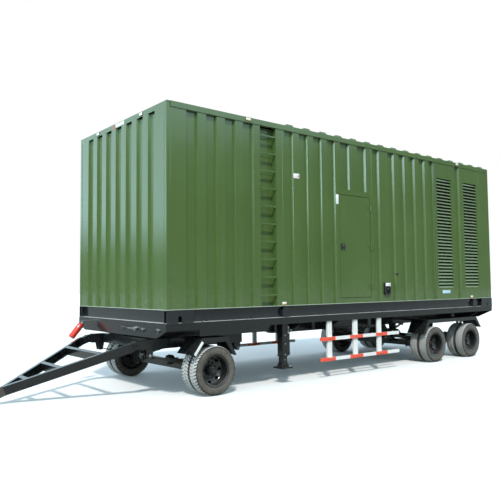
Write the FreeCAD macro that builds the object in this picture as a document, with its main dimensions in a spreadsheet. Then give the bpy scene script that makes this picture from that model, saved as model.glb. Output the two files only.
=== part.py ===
import FreeCAD, Part
import math
import os
import re

import Sketcher

# Towable diesel generator: a corrugated walk-in housing on a black skid, carried by a three-axle
# full trailer with a steered front dolly. Millimetres and degrees. While it is drawn, X = 0 is the
# housing's front face, Z = 0 the housing's underside and Y = 0 the centre; each sub-part's Placement
# then shifts it so that the origin lies on the ground under the middle of the whole vehicle.
# Near is the -Y side, which has the ladder and the switch box; far is +Y.

NEAR, FAR = -1, 1
SIDES = {"near": NEAR, "far": FAR}

# ------------------------------------------------------------------------------ driving sizes
SIZES = {
    # housing shell
    "body_length": 8840, "body_width": 3000, "wall_height": 2950, "sheet": 4,
    "groove_depth": 45, "groove_run": 21, "groove_mouth": 200, "groove_first": 342,
    "groove_pitch": 356, "mid_groove_first": 2295, "mid_groove_pitch": 348,
    "rear_groove_first": 5062, "rear_groove_pitch": 346, "end_groove_pitch": 355,
    "header_groove_mouth": 250, "header_groove_first": 3680, "header_groove_pitch": 470,
    "header_depth": 98,
    "roof_depth": 85, "roof_overhang": 12, "roof_seat": 50, "fascia_inset": 63,
    "ridge_first": 2325, "ridge_pitch": 406, "ridge_mouth": 190, "ridge_run": 32, "ridge_height": 32,
    "floor_thick": 6, "floor_gap": 55,
    # ladder let into the near wall
    "ladder_x": 1763, "ladder_width": 342, "ladder_depth": 110, "rung_first": 174,
    "rung_pitch": 290, "rung_bar": 24,
    # personnel doors
    "door_x": 3640, "door_width": 850, "door_low": 105, "door_height": 1877, "door_gap": 8,
    "door_thick": 45, "door_rim": 30, "hinge_radius": 14, "hinge_pin": 6, "hinge_half": 50,
    "latch_width": 120, "latch_height": 123, "latch_low": 970, "paddle_thick": 10, "plate_thick": 5,
    # louvred air openings
    "louvre_x": 6700, "louvre_width": 590, "louvre_pitch_x": 1045, "louvre_low": 229,
    "louvre_height": 2406, "louvre_frame": 18, "louvre_depth": 40, "blade_pitch": 70, "blade_thick": 5,
    "grille_width": 1900, "grille_low": 400,
    # black skid under the housing
    "skid_height": 200, "skid_flange": 75, "skid_steel": 12, "corner_length": 449,
    "slot_inset": 187, "slot_width": 64, "slot_height": 99, "skid_cross_depth": 150,
    "skid_cross_width": 80, "skid_cross_pitch": 860, "skid_cross_first": 550, "bollard_front": 2300, "bollard_rear": 8130,
    "bollard_radius": 90, "bollard_rim": 14,
    # trailer frame
    "rail_height": 100, "rail_flange": 60, "rail_steel": 8, "beam_y": 842, "beam_width": 100,
    "beam_depth": 200, "beam_web": 12, "beam_flange": 16, "neck_depth": 110, "neck_end": 2270,
    "neck_run": 230, "frame_inset": 40, "cross_first": 60, "cross_pitch": 620, "cross_width": 60,
    "cross_steel": 6, "bolster_offset": 465, "bolster_width": 120, "gusset_thick": 12,
    "gusset_depth": 180, "gusset_reach": 305, "skirt_front": 570, "skirt_rear": 1950,
    "skirt_depth": 100, "skirt_slant": 70, "end_plate": 12, "front_taper": 250, "rear_depth": 155,
    "rear_taper": 350, "tail_lamp": 30, "gusset_neck": 2023, "gusset_leg": 2629, "gusset_door": 3574,
    "gusset_axle": 5187, "gusset_tail": 8240, "gusset_clear": 15, "gusset_nose": 140,
    # lamps, plates and the switch box
    "lamp_radius": 22, "lamp_depth": 16, "lamp_top_front": 1508, "lamp_top_rear": 7513,
    "lamp_low_front": 2248, "lamp_low_rear": 7983, "lamp_low_z": 43, "lamp_above": 50,
    "end_lamp_y": 760, "end_lamp_above": 40, "tail_radius": 38, "tail_inner": 1100, "tail_outer": 1190,
    "tail_drop": 50, "label_thick": 3, "label_x": 2493, "label_width": 147, "label_low": 2156,
    "label_height": 90, "notice_x": 3540, "notice_width": 80, "notice_low": 1795, "notice_height": 185,
    "maker_x": 6840, "maker_width": 305, "maker_low": 126, "maker_height": 76, "switch_x": 4850,
    "switch_width": 174, "switch_low": 140, "switch_height": 233, "switch_depth": 46, "switch_rim": 35,
    "switch_sill": 25, "switch_mouth": 125, "switch_back": 12, "handle_rise": 88, "handle_knob": 16,
    "handle_bar": 12, "handle_length": 44,
    # side guards
    "guard_front": 3107, "guard_length": 2193, "guard_low": -995, "guard_post": 110,
    "guard_post_thick": 36, "guard_rail_height": 62, "guard_rail_thick": 24,
    "guard_upper": -640, "guard_post_first": 3354, "guard_post_pitch": 688,
    # landing legs
    "leg_x": 2362, "leg_y": 1330, "leg_size": 125, "leg_inner": 100, "leg_fit": 0.3,
    "leg_outer_low": -834, "leg_foot_low": -1045, "foot_thick": 30, "foot_size": 230,
    "leg_grip": 480, "jack_radius": 42, "jack_length": 360, "jack_neck": 110, "leg_cap": 12,
    "foot_collar": 70,
    # steered dolly under the front end
    "front_axle_x": 858, "dolly_depth": 150, "dolly_rear": 1835, "dolly_tube": 8, "ring_height": 22.35,
    "ring_outer": 500, "ring_inner": 430, "race_gap": 0.3, "hinge_x": -140, "hinge_eye": 60,
    "hinge_bolt": 20, "cheek": 12, "fork_gap": 0.3,
    # drawbar
    "tongue_tilt": 19.8, "tongue_length": 1800, "nose_at": 1720, "arm_start": 100, "arm_width": 65,
    "arm_depth": 130, "arm_web": 8, "step_first": 460, "step_second": 985, "step_third": 1415,
    "step_width": 60, "eye_centre": 1950, "eye_outer": 65, "eye_bore": 25, "eye_thick": 45,
    # couplings, brake lever and extinguisher on the front plate
    "extinguisher_arm": 168, "extinguisher_y": 1015, "extinguisher_arm_z": -241.2, "bottle_x": -357,
    "bottle_z": -511, "bottle_length": 318, "bottle_radius": 55, "bottle_neck": 18, "bottle_tilt": 39.3,
    "socket_inner": 830, "socket_outer": 1283, "socket_z": -308, "socket_length": 44,
    "socket_radius": 26, "socket_rim": 14, "lever_y": 640, "lever_z": -292, "lever_boss": 34,
    "lever_grip_y": 380, "lever_grip": 17,
    # axles, springs and wheels
    "deck_height": 1300, "rear_axle_x": 6550, "axle_spacing": 1356, "axle_size": 120,
    "axle_half": 1110, "spindle": 45, "spindle_length": 78, "running": 0.05, "mate_y": 1302,
    "rim_offset": 111, "rim_seat": 222, "rim_flange": 235, "rim_wall": 8, "rim_half": 85,
    "rim_lip": 10, "disc_thick": 10, "disc_flat": 160, "hub_hole": 80.3, "tyre_radius": 370,
    "tyre_half": 97.5, "bead_gap": 0.3, "hand_hole": 20, "hand_hole_at": 186, "hand_holes": 8,
    "spring_width": 76, "leaf": 9, "spring_pack": 72, "spring_front": 774, "spring_back": 885,
    "spring_half": 600, "camber": 105, "spring_eye": 24, "spring_pin": 15, "hanger_cheek": 10,
    "hanger_half": 62, "hanger_toe": 35, "u_bolt": 9, "clamp_half": 85,
    # fenders
    "fender_gap": 20, "fender_sheet": 5, "fender_lip": 75, "fender_in": 1087, "stay": 40,
    "rear_arch_front": 6125, "rear_arch_foot": -690, "rear_arch_slant": 177, "rear_arch_rear": 8345,
    "rear_arch_heel": -660, "rear_arch_slope": 199, "rear_stay_first": 6500, "rear_stay_second": 7208,
    "rear_stay_third": 7900, "dolly_arch_front": 430, "dolly_arch_foot": -664, "dolly_arch_slant": 180,
    "dolly_arch_rear": 1250, "dolly_arch_heel": -722, "dolly_arch_slope": 165, "dolly_stay_first": 700,
    "dolly_stay_second": 980, "fender_foot": 0.78, "fender_knee": 0.55,
    # machinery inside
    "shaft_z": 620, "shaft_radius": 60, "block_front": 2560, "block_length": 2500, "block_wall": 50,
    "alternator_front": 1450, "alternator_length": 960, "stator_outer": 460, "stator_inner": 305,
    "rotor_radius": 300, "foot_width": 160, "fan_x": 5560, "fan_z": 1250, "fan_radius": 720,
    "radiator_x": 5720, "radiator_thick": 90, "radiator_half": 1050, "radiator_top": 2350,
    "tank_front": 260, "tank_length": 820, "tank_half": 950, "tank_height": 720, "tank_sheet": 5,
    "cabinet_front": 1350, "cabinet_length": 760, "cabinet_in": 900, "cabinet_depth": 420,
    "cabinet_height": 1850, "silencer_radius": 240, "silencer_length": 1900, "silencer_front": 3000,
    "silencer_z": 2520,
}

# Heights and places that follow from the driving sizes.
DERIVED = {
    "half_width": "body_width / 2",
    "floor_half": "half_width - ladder_depth - sheet",
    "roof_top": "wall_height + roof_depth",
    "door_rear": "door_x + door_width",
    "rail_low": "-skid_height - rail_height",
    "beam_in": "beam_y - beam_width / 2",
    "beam_out": "beam_y + beam_width / 2",
    "neck_low": "rail_low - neck_depth",
    "beam_low": "rail_low - beam_depth",
    "dolly_top": "neck_low - 2 * ring_height - race_gap",
    "dolly_low": "dolly_top - dolly_depth",
    "hinge_z": "dolly_top - dolly_depth / 2",
    "axle_z": "tyre_radius - deck_height",
    "spring_seat": "axle_z + axle_size / 2",
    "eye_z": "spring_seat + spring_pack + camber - leaf / 2",
    "fender_top": "neck_low - fender_gap",
    "rail_in": "half_width - rail_flange",
    "guard_in": "half_width - guard_rail_thick",
    "arm_slope": "beam_out / (tongue_length - arm_start)",
    "arm_offset": "arm_width * sqrt(1 + arm_slope * arm_slope)",
    "eye_front": "hinge_x - (eye_centre + eye_outer) * cos(tongue_tilt) - eye_thick / 2 * sin(tongue_tilt)",
    "rear_face": "body_length + end_plate + tail_lamp",
    "shift_x": "-(eye_front + rear_face) / 2",
}

document = FreeCAD.newDocument("towable_generator")
sheet = document.addObject("Spreadsheet::Sheet", "Sizes")
for row, (alias, value) in enumerate(SIZES.items(), start=1):
    sheet.set(f"A{row}", alias)
    sheet.set(f"B{row}", str(value))
    sheet.setAlias(f"B{row}", alias)
document.recompute()


# ------------------------------------------------------------------------------ drawing helpers
def linked(formula):
    """The formula with each size word turned into a reference to the sheet."""
    def swap(match):
        word = match.group()
        if word in DERIVED:
            return f"({linked(DERIVED[word])})"
        return f"Sizes.{word}" if word in SIZES else word
    return re.sub(r"[a-z]\w*", swap, str(formula))


def bind(thing, prop, formula):
    thing.setExpression(prop, linked(formula))


def put(thing, x, y, z):
    for letter, formula in zip("xyz", (x, y, z)):
        bind(thing, f"Placement.Base.{letter}", formula)
    return thing


def size(alias):
    """A size as the sheet now holds it, for the shapes that a formula can't draw."""
    return float(sheet.get(alias))


def add(kind, name="piece"):
    return document.addObject(kind, name)


def block(x0, x1, y0, y1, z0, z1):
    thing = add("Part::Box", "block")
    bind(thing, "Length", f"({x1}) - ({x0})")
    bind(thing, "Width", f"({y1}) - ({y0})")
    bind(thing, "Height", f"({z1}) - ({z0})")
    return put(thing, x0, y0, z0)


def across(side, inner, outer):
    """The lowest and highest Y of a span that runs from inner to outer on one side."""
    return (inner, outer) if side == FAR else (f"-({outer})", f"-({inner})")


ALONG = {
    "x": FreeCAD.Rotation(FreeCAD.Vector(0, 1, 0), 90),
    "y": FreeCAD.Rotation(FreeCAD.Vector(1, 0, 0), -90),
    "z": FreeCAD.Rotation(),
}
DIRECTION = {"x": FreeCAD.Vector(1, 0, 0), "y": FreeCAD.Vector(0, 1, 0), "z": FreeCAD.Vector(0, 0, 1)}
# How a sketch lies when the piece runs along each axis: YZ, XZ and XY.
LIES = {
    "x": FreeCAD.Rotation(DIRECTION["y"], DIRECTION["z"], DIRECTION["x"], "ZXY"),
    "y": FreeCAD.Rotation(DIRECTION["x"], DIRECTION["z"], -DIRECTION["y"], "ZXY"),
    "z": FreeCAD.Rotation(),
}


def rod(axis, x, y, z, radius, length):
    """A round bar that runs from its first end along +axis."""
    thing = add("Part::Cylinder", "rod")
    bind(thing, "Radius", radius)
    bind(thing, "Height", length)
    thing.Placement.Rotation = ALONG[axis]
    return put(thing, x, y, z)


def outline(sketch, points):
    """Draws a closed polygon whose every corner is held by two bound dimensions."""
    count = len(points)
    for index in range(count):
        here = FreeCAD.Vector(index, index * index, 0)
        there = FreeCAD.Vector(index + 1, (index + 1) ** 2, 0)
        sketch.addGeometry(Part.LineSegment(here, there), False)
    for index in range(count):
        sketch.addConstraint(Sketcher.Constraint("Coincident", index, 2, (index + 1) % count, 1))
    for index, corner in enumerate(points):
        for kind, formula in zip(("DistanceX", "DistanceY"), corner):
            held = sketch.addConstraint(Sketcher.Constraint(kind, -1, 1, index, 1, 1.0))
            bind(sketch, f"Constraints[{held}]", formula)
    return sketch


def prism(axis, points, start, end):
    """A polygon stretched along an axis; its corners are (Y, Z), (X, Z) or (X, Y) pairs."""
    sketch = outline(add("Sketcher::SketchObject", "outline"), points)
    sketch.Placement.Rotation = LIES[axis]
    bind(sketch, f"Placement.Base.{axis}", start)
    thing = add("Part::Extrusion", "prism")
    thing.Base = sketch
    thing.DirMode = "Custom"
    thing.Dir = DIRECTION[axis]
    thing.Solid = True
    bind(thing, "LengthFwd", f"({end}) - ({start})")
    return thing


def turned(axis, points, x, y, z):
    """A revolved piece; its corners are (radius, distance along the axis) pairs."""
    corners = [(along, radius) for radius, along in points] if axis == "x" else points
    sketch = outline(add("Sketcher::SketchObject", "section"), corners)
    if axis == "z":
        sketch.Placement.Rotation = LIES["y"]
    thing = add("Part::Revolution", "turned")
    thing.Source = sketch
    thing.Axis = DIRECTION[axis]
    thing.Base = FreeCAD.Vector(0, 0, 0)
    thing.Angle = 360
    thing.Solid = True
    return put(thing, x, y, z)


def ring(axis, x, y, z, outer, inner, length):
    return turned(axis, [(inner, 0), (outer, 0), (outer, length), (inner, length)], x, y, z)


def cut(base, *tools):
    for tool in tools:
        thing = add("Part::Cut", "cut")
        thing.Base = base
        thing.Tool = tool
        base = thing
    return base


def fuse(*pieces):
    thing = add("Part::MultiFuse", "joined")
    thing.Shapes = list(pieces)
    return thing


NODES = []


def node(label, *pieces):
    """One named sub-part: its separate solids, shifted into the vehicle's own frame."""
    group = add("Part::Compound", label)
    group.Label = label
    group.Links = list(pieces)
    NODES.append(group)
    return put(group, "shift_x", "0", "deck_height")


def tongue_node(label, *pieces):
    """A sub-part of the drawbar: X = 0 is its hinge axis, and the whole slopes to the towing eye."""
    group = node(label, *pieces)
    group.Placement.Rotation = FreeCAD.Rotation(FreeCAD.Vector(0, -1, 0), 10)
    bind(group, "Placement.Rotation.Angle", "tongue_tilt")
    return put(group, "shift_x + hinge_x", "0", "deck_height + hinge_z")


def origin_feature(body, role):
    return next(item for item in body.Origin.OriginFeatures if item.Role == role)


def attached(body, role, name):
    sketch = body.newObject("Sketcher::SketchObject", name)
    sketch.AttachmentSupport = [(origin_feature(body, role), "")]
    sketch.MapMode = "FlatFace"
    return sketch


def frame_of(x0, x1, z0, z1):
    return [(x0, z0), (x1, z0), (x1, z1), (x0, z1)]


# ------------------------------------------------------------------------------ folded sheets
def folded_sheet(length, width, starts, mouth, run, depth):
    """A sheet folded into grooves that step from y = 0 to y = depth, stretched along z."""
    thick = size("sheet")
    lead = thick * (math.hypot(run, depth) - run) / depth
    face, back = [(0, 0)], [(0, thick)]
    for start in starts:
        end = start + mouth
        face += [(start, 0), (start + run, depth), (end - run, depth), (end, 0)]
        back += [(start - lead, thick), (start + run - lead, depth + thick)]
        back += [(end - run + lead, depth + thick), (end + lead, thick)]
    face.append((length, 0))
    back.append((length, thick))
    corners = [FreeCAD.Vector(x, y, 0) for x, y in face + back[::-1]]
    wire = Part.makePolygon(corners + corners[:1])
    return Part.Face(wire).extrude(FreeCAD.Vector(0, 0, width))


def sheet_piece(shape, base, rotation):
    thing = add("Part::Feature", "folded")
    thing.Shape = shape
    thing.Placement = FreeCAD.Placement(base, rotation)
    return thing


def wall_piece(side, start, end, low, high, grooves, mouth="groove_mouth"):
    """A stretch of a side wall between two X and two Z values, with grooves at the X values given."""
    starts = [groove - start for groove in grooves]
    if side == FAR:
        starts = [end - start - place - size(mouth) for place in reversed(starts)]
    shape = folded_sheet(end - start, high - low, starts, size(mouth), size("groove_run"),
                         size("groove_depth"))
    half = size("body_width") / 2
    if side == NEAR:
        return sheet_piece(shape, FreeCAD.Vector(start, -half, low), FreeCAD.Rotation())
    return sheet_piece(shape, FreeCAD.Vector(end, half, low), FreeCAD.Rotation(DIRECTION["z"], 180))


def end_wall_piece(front, start, end, low, high, grooves):
    """A stretch of an end wall; start, end and grooves are Y values."""
    half_turn = -90 if front else 90
    starts = [groove - start for groove in grooves]
    shape = folded_sheet(end - start, high - low, starts, size("groove_mouth"), size("groove_run"),
                         size("groove_depth"))
    x = 0 if front else size("body_length")
    y = -start if front else start
    return sheet_piece(shape, FreeCAD.Vector(x, y, low), FreeCAD.Rotation(DIRECTION["z"], half_turn))


def grooves_from(first, pitch, count):
    return [first + pitch * index for index in range(count)]


# ------------------------------------------------------------------------------ housing
def side_wall(side):
    """One long wall in panels: around the door and the two louvres, and past the near ladder."""
    height = size("wall_height")
    door_open = size("door_x") - size("door_gap")
    door_close = size("door_x") + size("door_width") + size("door_gap")
    sill = size("door_low") - size("door_gap")
    lintel = size("door_low") + size("door_height") + size("door_gap")
    header = lintel + size("header_depth")
    louvre = [size("louvre_x") + index * size("louvre_pitch_x") for index in range(2)]
    louvre_end = [start + size("louvre_width") for start in louvre]
    louvre_top = size("louvre_low") + size("louvre_height")
    ladder, ladder_end = size("ladder_x"), size("ladder_x") + size("ladder_width")
    front_grooves = grooves_from(size("groove_first"), size("groove_pitch"), 4)
    mid_grooves = grooves_from(size("mid_groove_first"), size("mid_groove_pitch"), 4)
    rear_grooves = grooves_from(size("rear_groove_first"), size("rear_groove_pitch"), 5)
    corner_post = size("groove_mouth")
    pieces = [
        wall_piece(side, 0, ladder, 0, height, front_grooves),
        wall_piece(side, ladder_end, door_open, 0, height, mid_grooves),
        wall_piece(side, door_open, door_close, 0, sill, []),
        wall_piece(side, door_open, door_close, lintel, header, []),
        wall_piece(side, door_open, door_close, header, height,
                   grooves_from(size("header_groove_first"), size("header_groove_pitch"), 2),
                   "header_groove_mouth"),
        wall_piece(side, door_close, louvre[0], 0, height,
                   [rear_grooves[0] - size("header_groove_pitch")] + rear_grooves),
        wall_piece(side, louvre_end[0], louvre[1], 0, height,
                   [(louvre_end[0] + louvre[1] - corner_post) / 2]),
        wall_piece(side, louvre_end[1], size("body_length"), 0, height, []),
    ]
    for start, end in zip(louvre, louvre_end):
        pieces.append(wall_piece(side, start, end, 0, size("louvre_low"), []))
        pieces.append(wall_piece(side, start, end, louvre_top, height, []))
    if side == FAR:
        pieces.append(wall_piece(side, ladder, ladder_end, 0, height, []))
    else:
        pieces += ladder_recess()
    return node("near_wall" if side == NEAR else "far_wall", *pieces)


def ladder_recess():
    """The back and the two cheeks of the upright trough that the ladder stands in."""
    back_y = "-half_width + ladder_depth"
    end = "ladder_x + ladder_width"
    return [
        block("ladder_x", end, back_y, f"{back_y} + sheet", "0", "wall_height"),
        block("ladder_x", "ladder_x + sheet", "-half_width + sheet", back_y, "0", "wall_height"),
        block(f"{end} - sheet", end, "-half_width + sheet", back_y, "0", "wall_height"),
    ]


def ladder():
    rungs = []
    for index in range(10):
        low = f"rung_first + {index} * rung_pitch"
        rungs.append(block("ladder_x + sheet", "ladder_x + ladder_width - sheet",
                           "-half_width + 2", "-half_width + 2 + rung_bar", low, f"{low} + rung_bar"))
    return node("ladder_rungs", *rungs)


def end_walls():
    """The ends stand between the side walls; the rear one leaves room for the radiator grille."""
    half = size("body_width") / 2 - size("sheet")
    mouth = size("groove_mouth")
    rows = [index * size("end_groove_pitch") - mouth / 2 for index in range(-3, 4)]
    height = size("wall_height")
    grille = size("grille_width") / 2
    low = size("grille_low")
    top = low + size("louvre_height")
    side_rows = [row for row in rows if row + mouth < -grille]
    other_rows = [row for row in rows if row > grille]
    node("end_walls",
         end_wall_piece(True, -half, half, 0, height, rows),
         end_wall_piece(False, -half, -grille, 0, height, side_rows),
         end_wall_piece(False, grille, half, 0, height, other_rows),
         end_wall_piece(False, -grille, grille, 0, low, []),
         end_wall_piece(False, -grille, grille, top, height, []))


def roof():
    """The ribbed roof sheet between the fascias, and the fascia angles with their corner blocks."""
    starts = grooves_from(size("ridge_first"), size("ridge_pitch"), 16)
    length = size("body_length")
    overhang = size("roof_overhang")
    face = size("body_width") / 2 + overhang - size("sheet")
    shape = folded_sheet(length, 2 * face, starts, size("ridge_mouth"), size("ridge_run"),
                         size("ridge_height"))
    level = size("wall_height") + size("roof_depth") - 2 * size("sheet")
    flat = sheet_piece(shape, FreeCAD.Vector(0, face, level), FreeCAD.Rotation(DIRECTION["x"], 90))
    out = "half_width + roof_overhang"
    angle = [(out, "wall_height"), (out, "roof_top"), (f"{out} - sheet", "roof_top"),
             (f"{out} - sheet", "wall_height + sheet"), ("half_width - roof_seat", "wall_height + sheet"),
             ("half_width - roof_seat", "wall_height")]
    pieces = [flat]
    for side in SIDES.values():
        section = [(f"{side} * ({y})", z) for y, z in angle]
        pieces.append(prism("x", section, "fascia_inset", "body_length - fascia_inset"))
    end_face = "half_width - fascia_inset"
    pieces.append(block("0", "sheet", f"-({end_face})", end_face, "wall_height", "roof_top - 2 * sheet"))
    pieces.append(block("body_length - sheet", "body_length", f"-({end_face})", end_face,
                        "wall_height", "roof_top - 2 * sheet"))
    for side in SIDES.values():
        for x in ("0", "body_length - fascia_inset"):
            pieces.append(block(x, f"{x} + fascia_inset", *across(side, end_face, "half_width"),
                                "wall_height", "roof_top - 2 * sheet"))
    node("roof", *pieces)


def housing_floor():
    node("floor_plate", block("floor_gap", "body_length - floor_gap", "-(floor_half)", "floor_half",
                              "0", "floor_thick"))


def louvre_panel(x, y, z, width, height, turn):
    """A framed bank of sloping blades, its outer face at y = 0 before it is turned into place."""
    body = add("PartDesign::Body", "louvre")
    frame = attached(body, "XZ_Plane", "frame")
    outline(frame, frame_of("0", width, "0", height))
    pad = body.newObject("PartDesign::Pad", "rim")
    pad.Profile = frame
    pad.Reversed = True
    bind(pad, "Length", "louvre_depth")
    hollow = attached(body, "XZ_Plane", "hollow")
    outline(hollow, frame_of("louvre_frame", f"{width} - louvre_frame",
                             "louvre_frame", f"{height} - louvre_frame"))
    pocket = body.newObject("PartDesign::Pocket", "opening")
    pocket.Profile = hollow
    pocket.Type = "ThroughAll"
    pocket.Midplane = True
    section = attached(body, "YZ_Plane", "blade")
    outline(section, [("1", "louvre_frame + 3"), ("1", "louvre_frame + 3 + blade_thick"),
                      ("louvre_depth - 1", "louvre_frame + louvre_depth + 1 + blade_thick"),
                      ("louvre_depth - 1", "louvre_frame + louvre_depth + 1")])
    blade = body.newObject("PartDesign::Pad", "first_blade")
    blade.Profile = section
    bind(blade, "Length", width)
    pattern = body.newObject("PartDesign::LinearPattern", "blades")
    pattern.Originals = [blade]
    pattern.Direction = (origin_feature(body, "Z_Axis"), [""])
    pattern.Occurrences = int((size("louvre_height") - 2 * size("louvre_frame")) / size("blade_pitch"))
    bind(pattern, "Length", f"blade_pitch * {pattern.Occurrences - 1}")
    body.Tip = pattern
    body.Placement.Rotation = FreeCAD.Rotation(DIRECTION["z"], turn)
    return put(body, x, y, z)


def louvres():
    panels = []
    for side in SIDES.values():
        for index in range(2):
            x = f"louvre_x + {index} * louvre_pitch_x"
            if side == FAR:
                x += " + louvre_width"
            panels.append(louvre_panel(x, f"{side} * half_width", "louvre_low", "louvre_width",
                                       "louvre_height", 0 if side == NEAR else 180))
    panels.append(louvre_panel("body_length", "-grille_width / 2", "grille_low", "grille_width",
                               "louvre_height", 90))
    node("louvre_panels", *panels)


def door(name, side):
    """A pan-shaped leaf with its hinge knuckles, and the paddle of its latch; gives the wall's pins."""
    skin = across(side, "half_width - door_thick", "half_width")
    inner = across(side, "half_width - door_thick - 1", "half_width - sheet")
    top = "door_low + door_height"
    leaf = block("door_x", "door_rear", *skin, "door_low", top)
    hollow = block("door_x + door_rim", "door_rear - door_rim", *inner, "door_low + door_rim",
                   f"{top} - door_rim")
    pieces = [cut(leaf, hollow)]
    pins = []
    hinge_x, hinge_y = "door_rear + door_gap / 2", f"{side} * (half_width + hinge_radius)"
    for share in (0.11, 0.5, 0.89):
        z = f"door_low + {share} * door_height"
        barrel = rod("z", hinge_x, hinge_y, z, "hinge_radius", "hinge_half")
        leaf_y = across(side, "half_width", "half_width + plate_thick")
        strap = block("door_rear - 2 * hinge_half", hinge_x, *leaf_y, z, f"{z} + hinge_half")
        bore = rod("z", hinge_x, hinge_y, f"{z} - 1", "hinge_pin + running", "hinge_half + 2")
        pieces.append(cut(fuse(barrel, strap), bore))
        low = f"{z} - hinge_half - race_gap"
        fixed = rod("z", hinge_x, hinge_y, low, "hinge_radius", "hinge_half")
        pad = block(hinge_x, "door_rear + 2 * hinge_half", *leaf_y, low, f"{low} + hinge_half")
        pin = rod("z", hinge_x, hinge_y, low, "hinge_pin", "2 * hinge_half + race_gap")
        pins.append(fuse(fixed, pad, pin))
    plate_y = across(side, "half_width", "half_width + plate_thick")
    pieces.append(block("door_x + 12", "door_x + 12 + latch_width", *plate_y, "latch_low",
                        "latch_low + latch_height"))
    node(f"{name}_door", *pieces)
    paddle_y = across(side, "half_width + plate_thick + race_gap",
                      "half_width + plate_thick + race_gap + paddle_thick")
    node(f"{name}_latch_paddle", block("door_x + 34", "door_x + latch_width - 10", *paddle_y,
                                       "latch_low + 22", "latch_low + latch_height - 14"))
    return pins


def small_fittings():
    """Marker and tail lamps, blank name plates and the switch box beside the door."""
    lamps = []
    for side in SIDES.values():
        for x in ("lamp_top_front", "lamp_top_rear"):
            y = "half_width + roof_overhang" if side == FAR else "-half_width - roof_overhang - lamp_depth"
            lamps.append(rod("y", x, y, "wall_height + lamp_above", "lamp_radius", "lamp_depth"))
        for x in ("lamp_low_front", "lamp_low_rear"):
            y = "half_width" if side == FAR else "-half_width - lamp_depth"
            lamps.append(rod("y", x, y, "lamp_low_z", "lamp_radius", "lamp_depth"))
        for y in ("tail_inner", "tail_outer"):
            lamps.append(rod("x", "body_length + end_plate", f"{side} * {y}", "-skid_height - tail_drop",
                             "tail_radius", "tail_lamp"))
        lamps.append(rod("x", "-lamp_depth", f"{side} * end_lamp_y", "wall_height + end_lamp_above",
                         "lamp_radius", "lamp_depth"))
    node("marker_lamps", *lamps)
    plates = []
    for name in ("label", "notice", "maker"):
        plates.append(block(f"{name}_x", f"{name}_x + {name}_width", "-half_width - label_thick",
                            "-half_width", f"{name}_low", f"{name}_low + {name}_height"))
    node("blank_plates", *plates)
    right = "switch_x + switch_width"
    shell = block("switch_x", right, "-half_width - switch_depth", "-half_width", "switch_low",
                  "switch_low + switch_height")
    recess = block("switch_x + switch_rim", f"{right} - switch_rim", "-half_width - switch_depth - 1",
                   "-half_width - switch_back", "switch_low + switch_sill",
                   "switch_low + switch_sill + switch_mouth")
    node("switch_box", cut(shell, recess))
    middle, height = "switch_x + switch_width / 2", "switch_low + handle_rise"
    knob = rod("y", middle, "-half_width - switch_depth + 10", height, "handle_knob",
               "switch_depth - 10 - switch_back - fork_gap")
    bar = block(f"{middle} - handle_bar / 2", f"{middle} + handle_bar / 2",
                "-half_width - switch_depth + 2", "-half_width - switch_depth + 16", height,
                f"{height} + handle_length")
    node("switch_handle", fuse(knob, bar))


# ------------------------------------------------------------------------------ skid
def c_section(back, tips, low, high, steel):
    """A C outline whose web stands at back and whose flanges reach tips."""
    web = f"{back} + ({steel}) * ({tips} - ({back})) / abs({tips} - ({back}))"
    return [(back, low), (tips, low), (tips, f"{low} + {steel}"), (web, f"{low} + {steel}"),
            (web, f"{high} - {steel}"), (tips, f"{high} - {steel}"), (tips, high), (back, high)]


def skid():
    """Side members welded from a web and two flanges, with cross channels and lifting bollards."""
    web = "half_width - skid_flange"
    low = "-skid_height"
    channels, pieces = [], []
    for side in SIDES.values():
        flange = across(side, f"{web} + skid_steel", "half_width")
        channels.append(block("0", "body_length", *across(side, web, f"{web} + skid_steel"), low, "0"))
        channels.append(block("0", "body_length", *flange, low, f"{low} + skid_steel"))
        channels.append(block("0", "body_length", *flange, "-skid_steel", "0"))
    node("skid_side_channels", *channels)
    ends = (("skid_flange", "0"), ("body_length - skid_flange", "body_length"))
    for back, tips in ends:
        pieces.append(prism("y", c_section(back, tips, low, "0", "skid_steel"), f"-({web})", web))
    for index in range(10):
        x = f"skid_cross_first + {index} * skid_cross_pitch - skid_cross_width / 2"
        section = c_section(x, f"{x} + skid_cross_width", "-skid_cross_depth", "0", "skid_steel")
        pieces.append(prism("y", section, f"-({web})", web))
    plates = []
    for side in SIDES.values():
        for rear in (False, True):
            plates += corner_plate(side, rear)
    node("skid_corner_plates", *plates)
    for side in SIDES.values():
        for x in ("bollard_front", "bollard_rear"):
            reach = "skid_flange - skid_steel - 0.5"
            stub = "bollard_radius - bollard_rim"
            section = [("0", "0"), (stub, "0"), (stub, f"{side} * ({reach} - bollard_rim)"),
                       ("bollard_radius - 4", f"{side} * ({reach} - bollard_rim)"),
                       ("bollard_radius - 4", f"{side} * ({reach})"), ("0", f"{side} * ({reach})")]
            pieces.append(turned("y", section, x, f"{side} * ({web} + skid_steel)", "-skid_height / 2"))
    node("skid_frame", *pieces)


def corner_plate(side, rear):
    """A skid corner plate in four welded strips, which leave the round-topped lashing slot open."""
    def along(near_end, far_end):
        if rear:
            return f"body_length - ({far_end})", f"body_length - ({near_end})"
        return near_end, far_end
    face = across(side, "half_width", "half_width + skid_steel")
    slot_end, foot = "slot_inset + slot_width", "skid_steel - skid_height"
    left, right = along("slot_inset", slot_end)
    shoulder, crown = f"{foot} + slot_height - slot_width / 4", f"{foot} + slot_height"
    bridge = [(left, shoulder), (f"{left} + slot_width / 4", crown), (f"{right} - slot_width / 4", crown),
              (right, shoulder), (right, "0"), (left, "0")]
    return [block(*along("0", "slot_inset"), *face, "-skid_height", "0"),
            block(*along(slot_end, "corner_length"), *face, "-skid_height", "0"),
            block(left, right, *face, "-skid_height", foot), prism("y", bridge, *face)]


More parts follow.
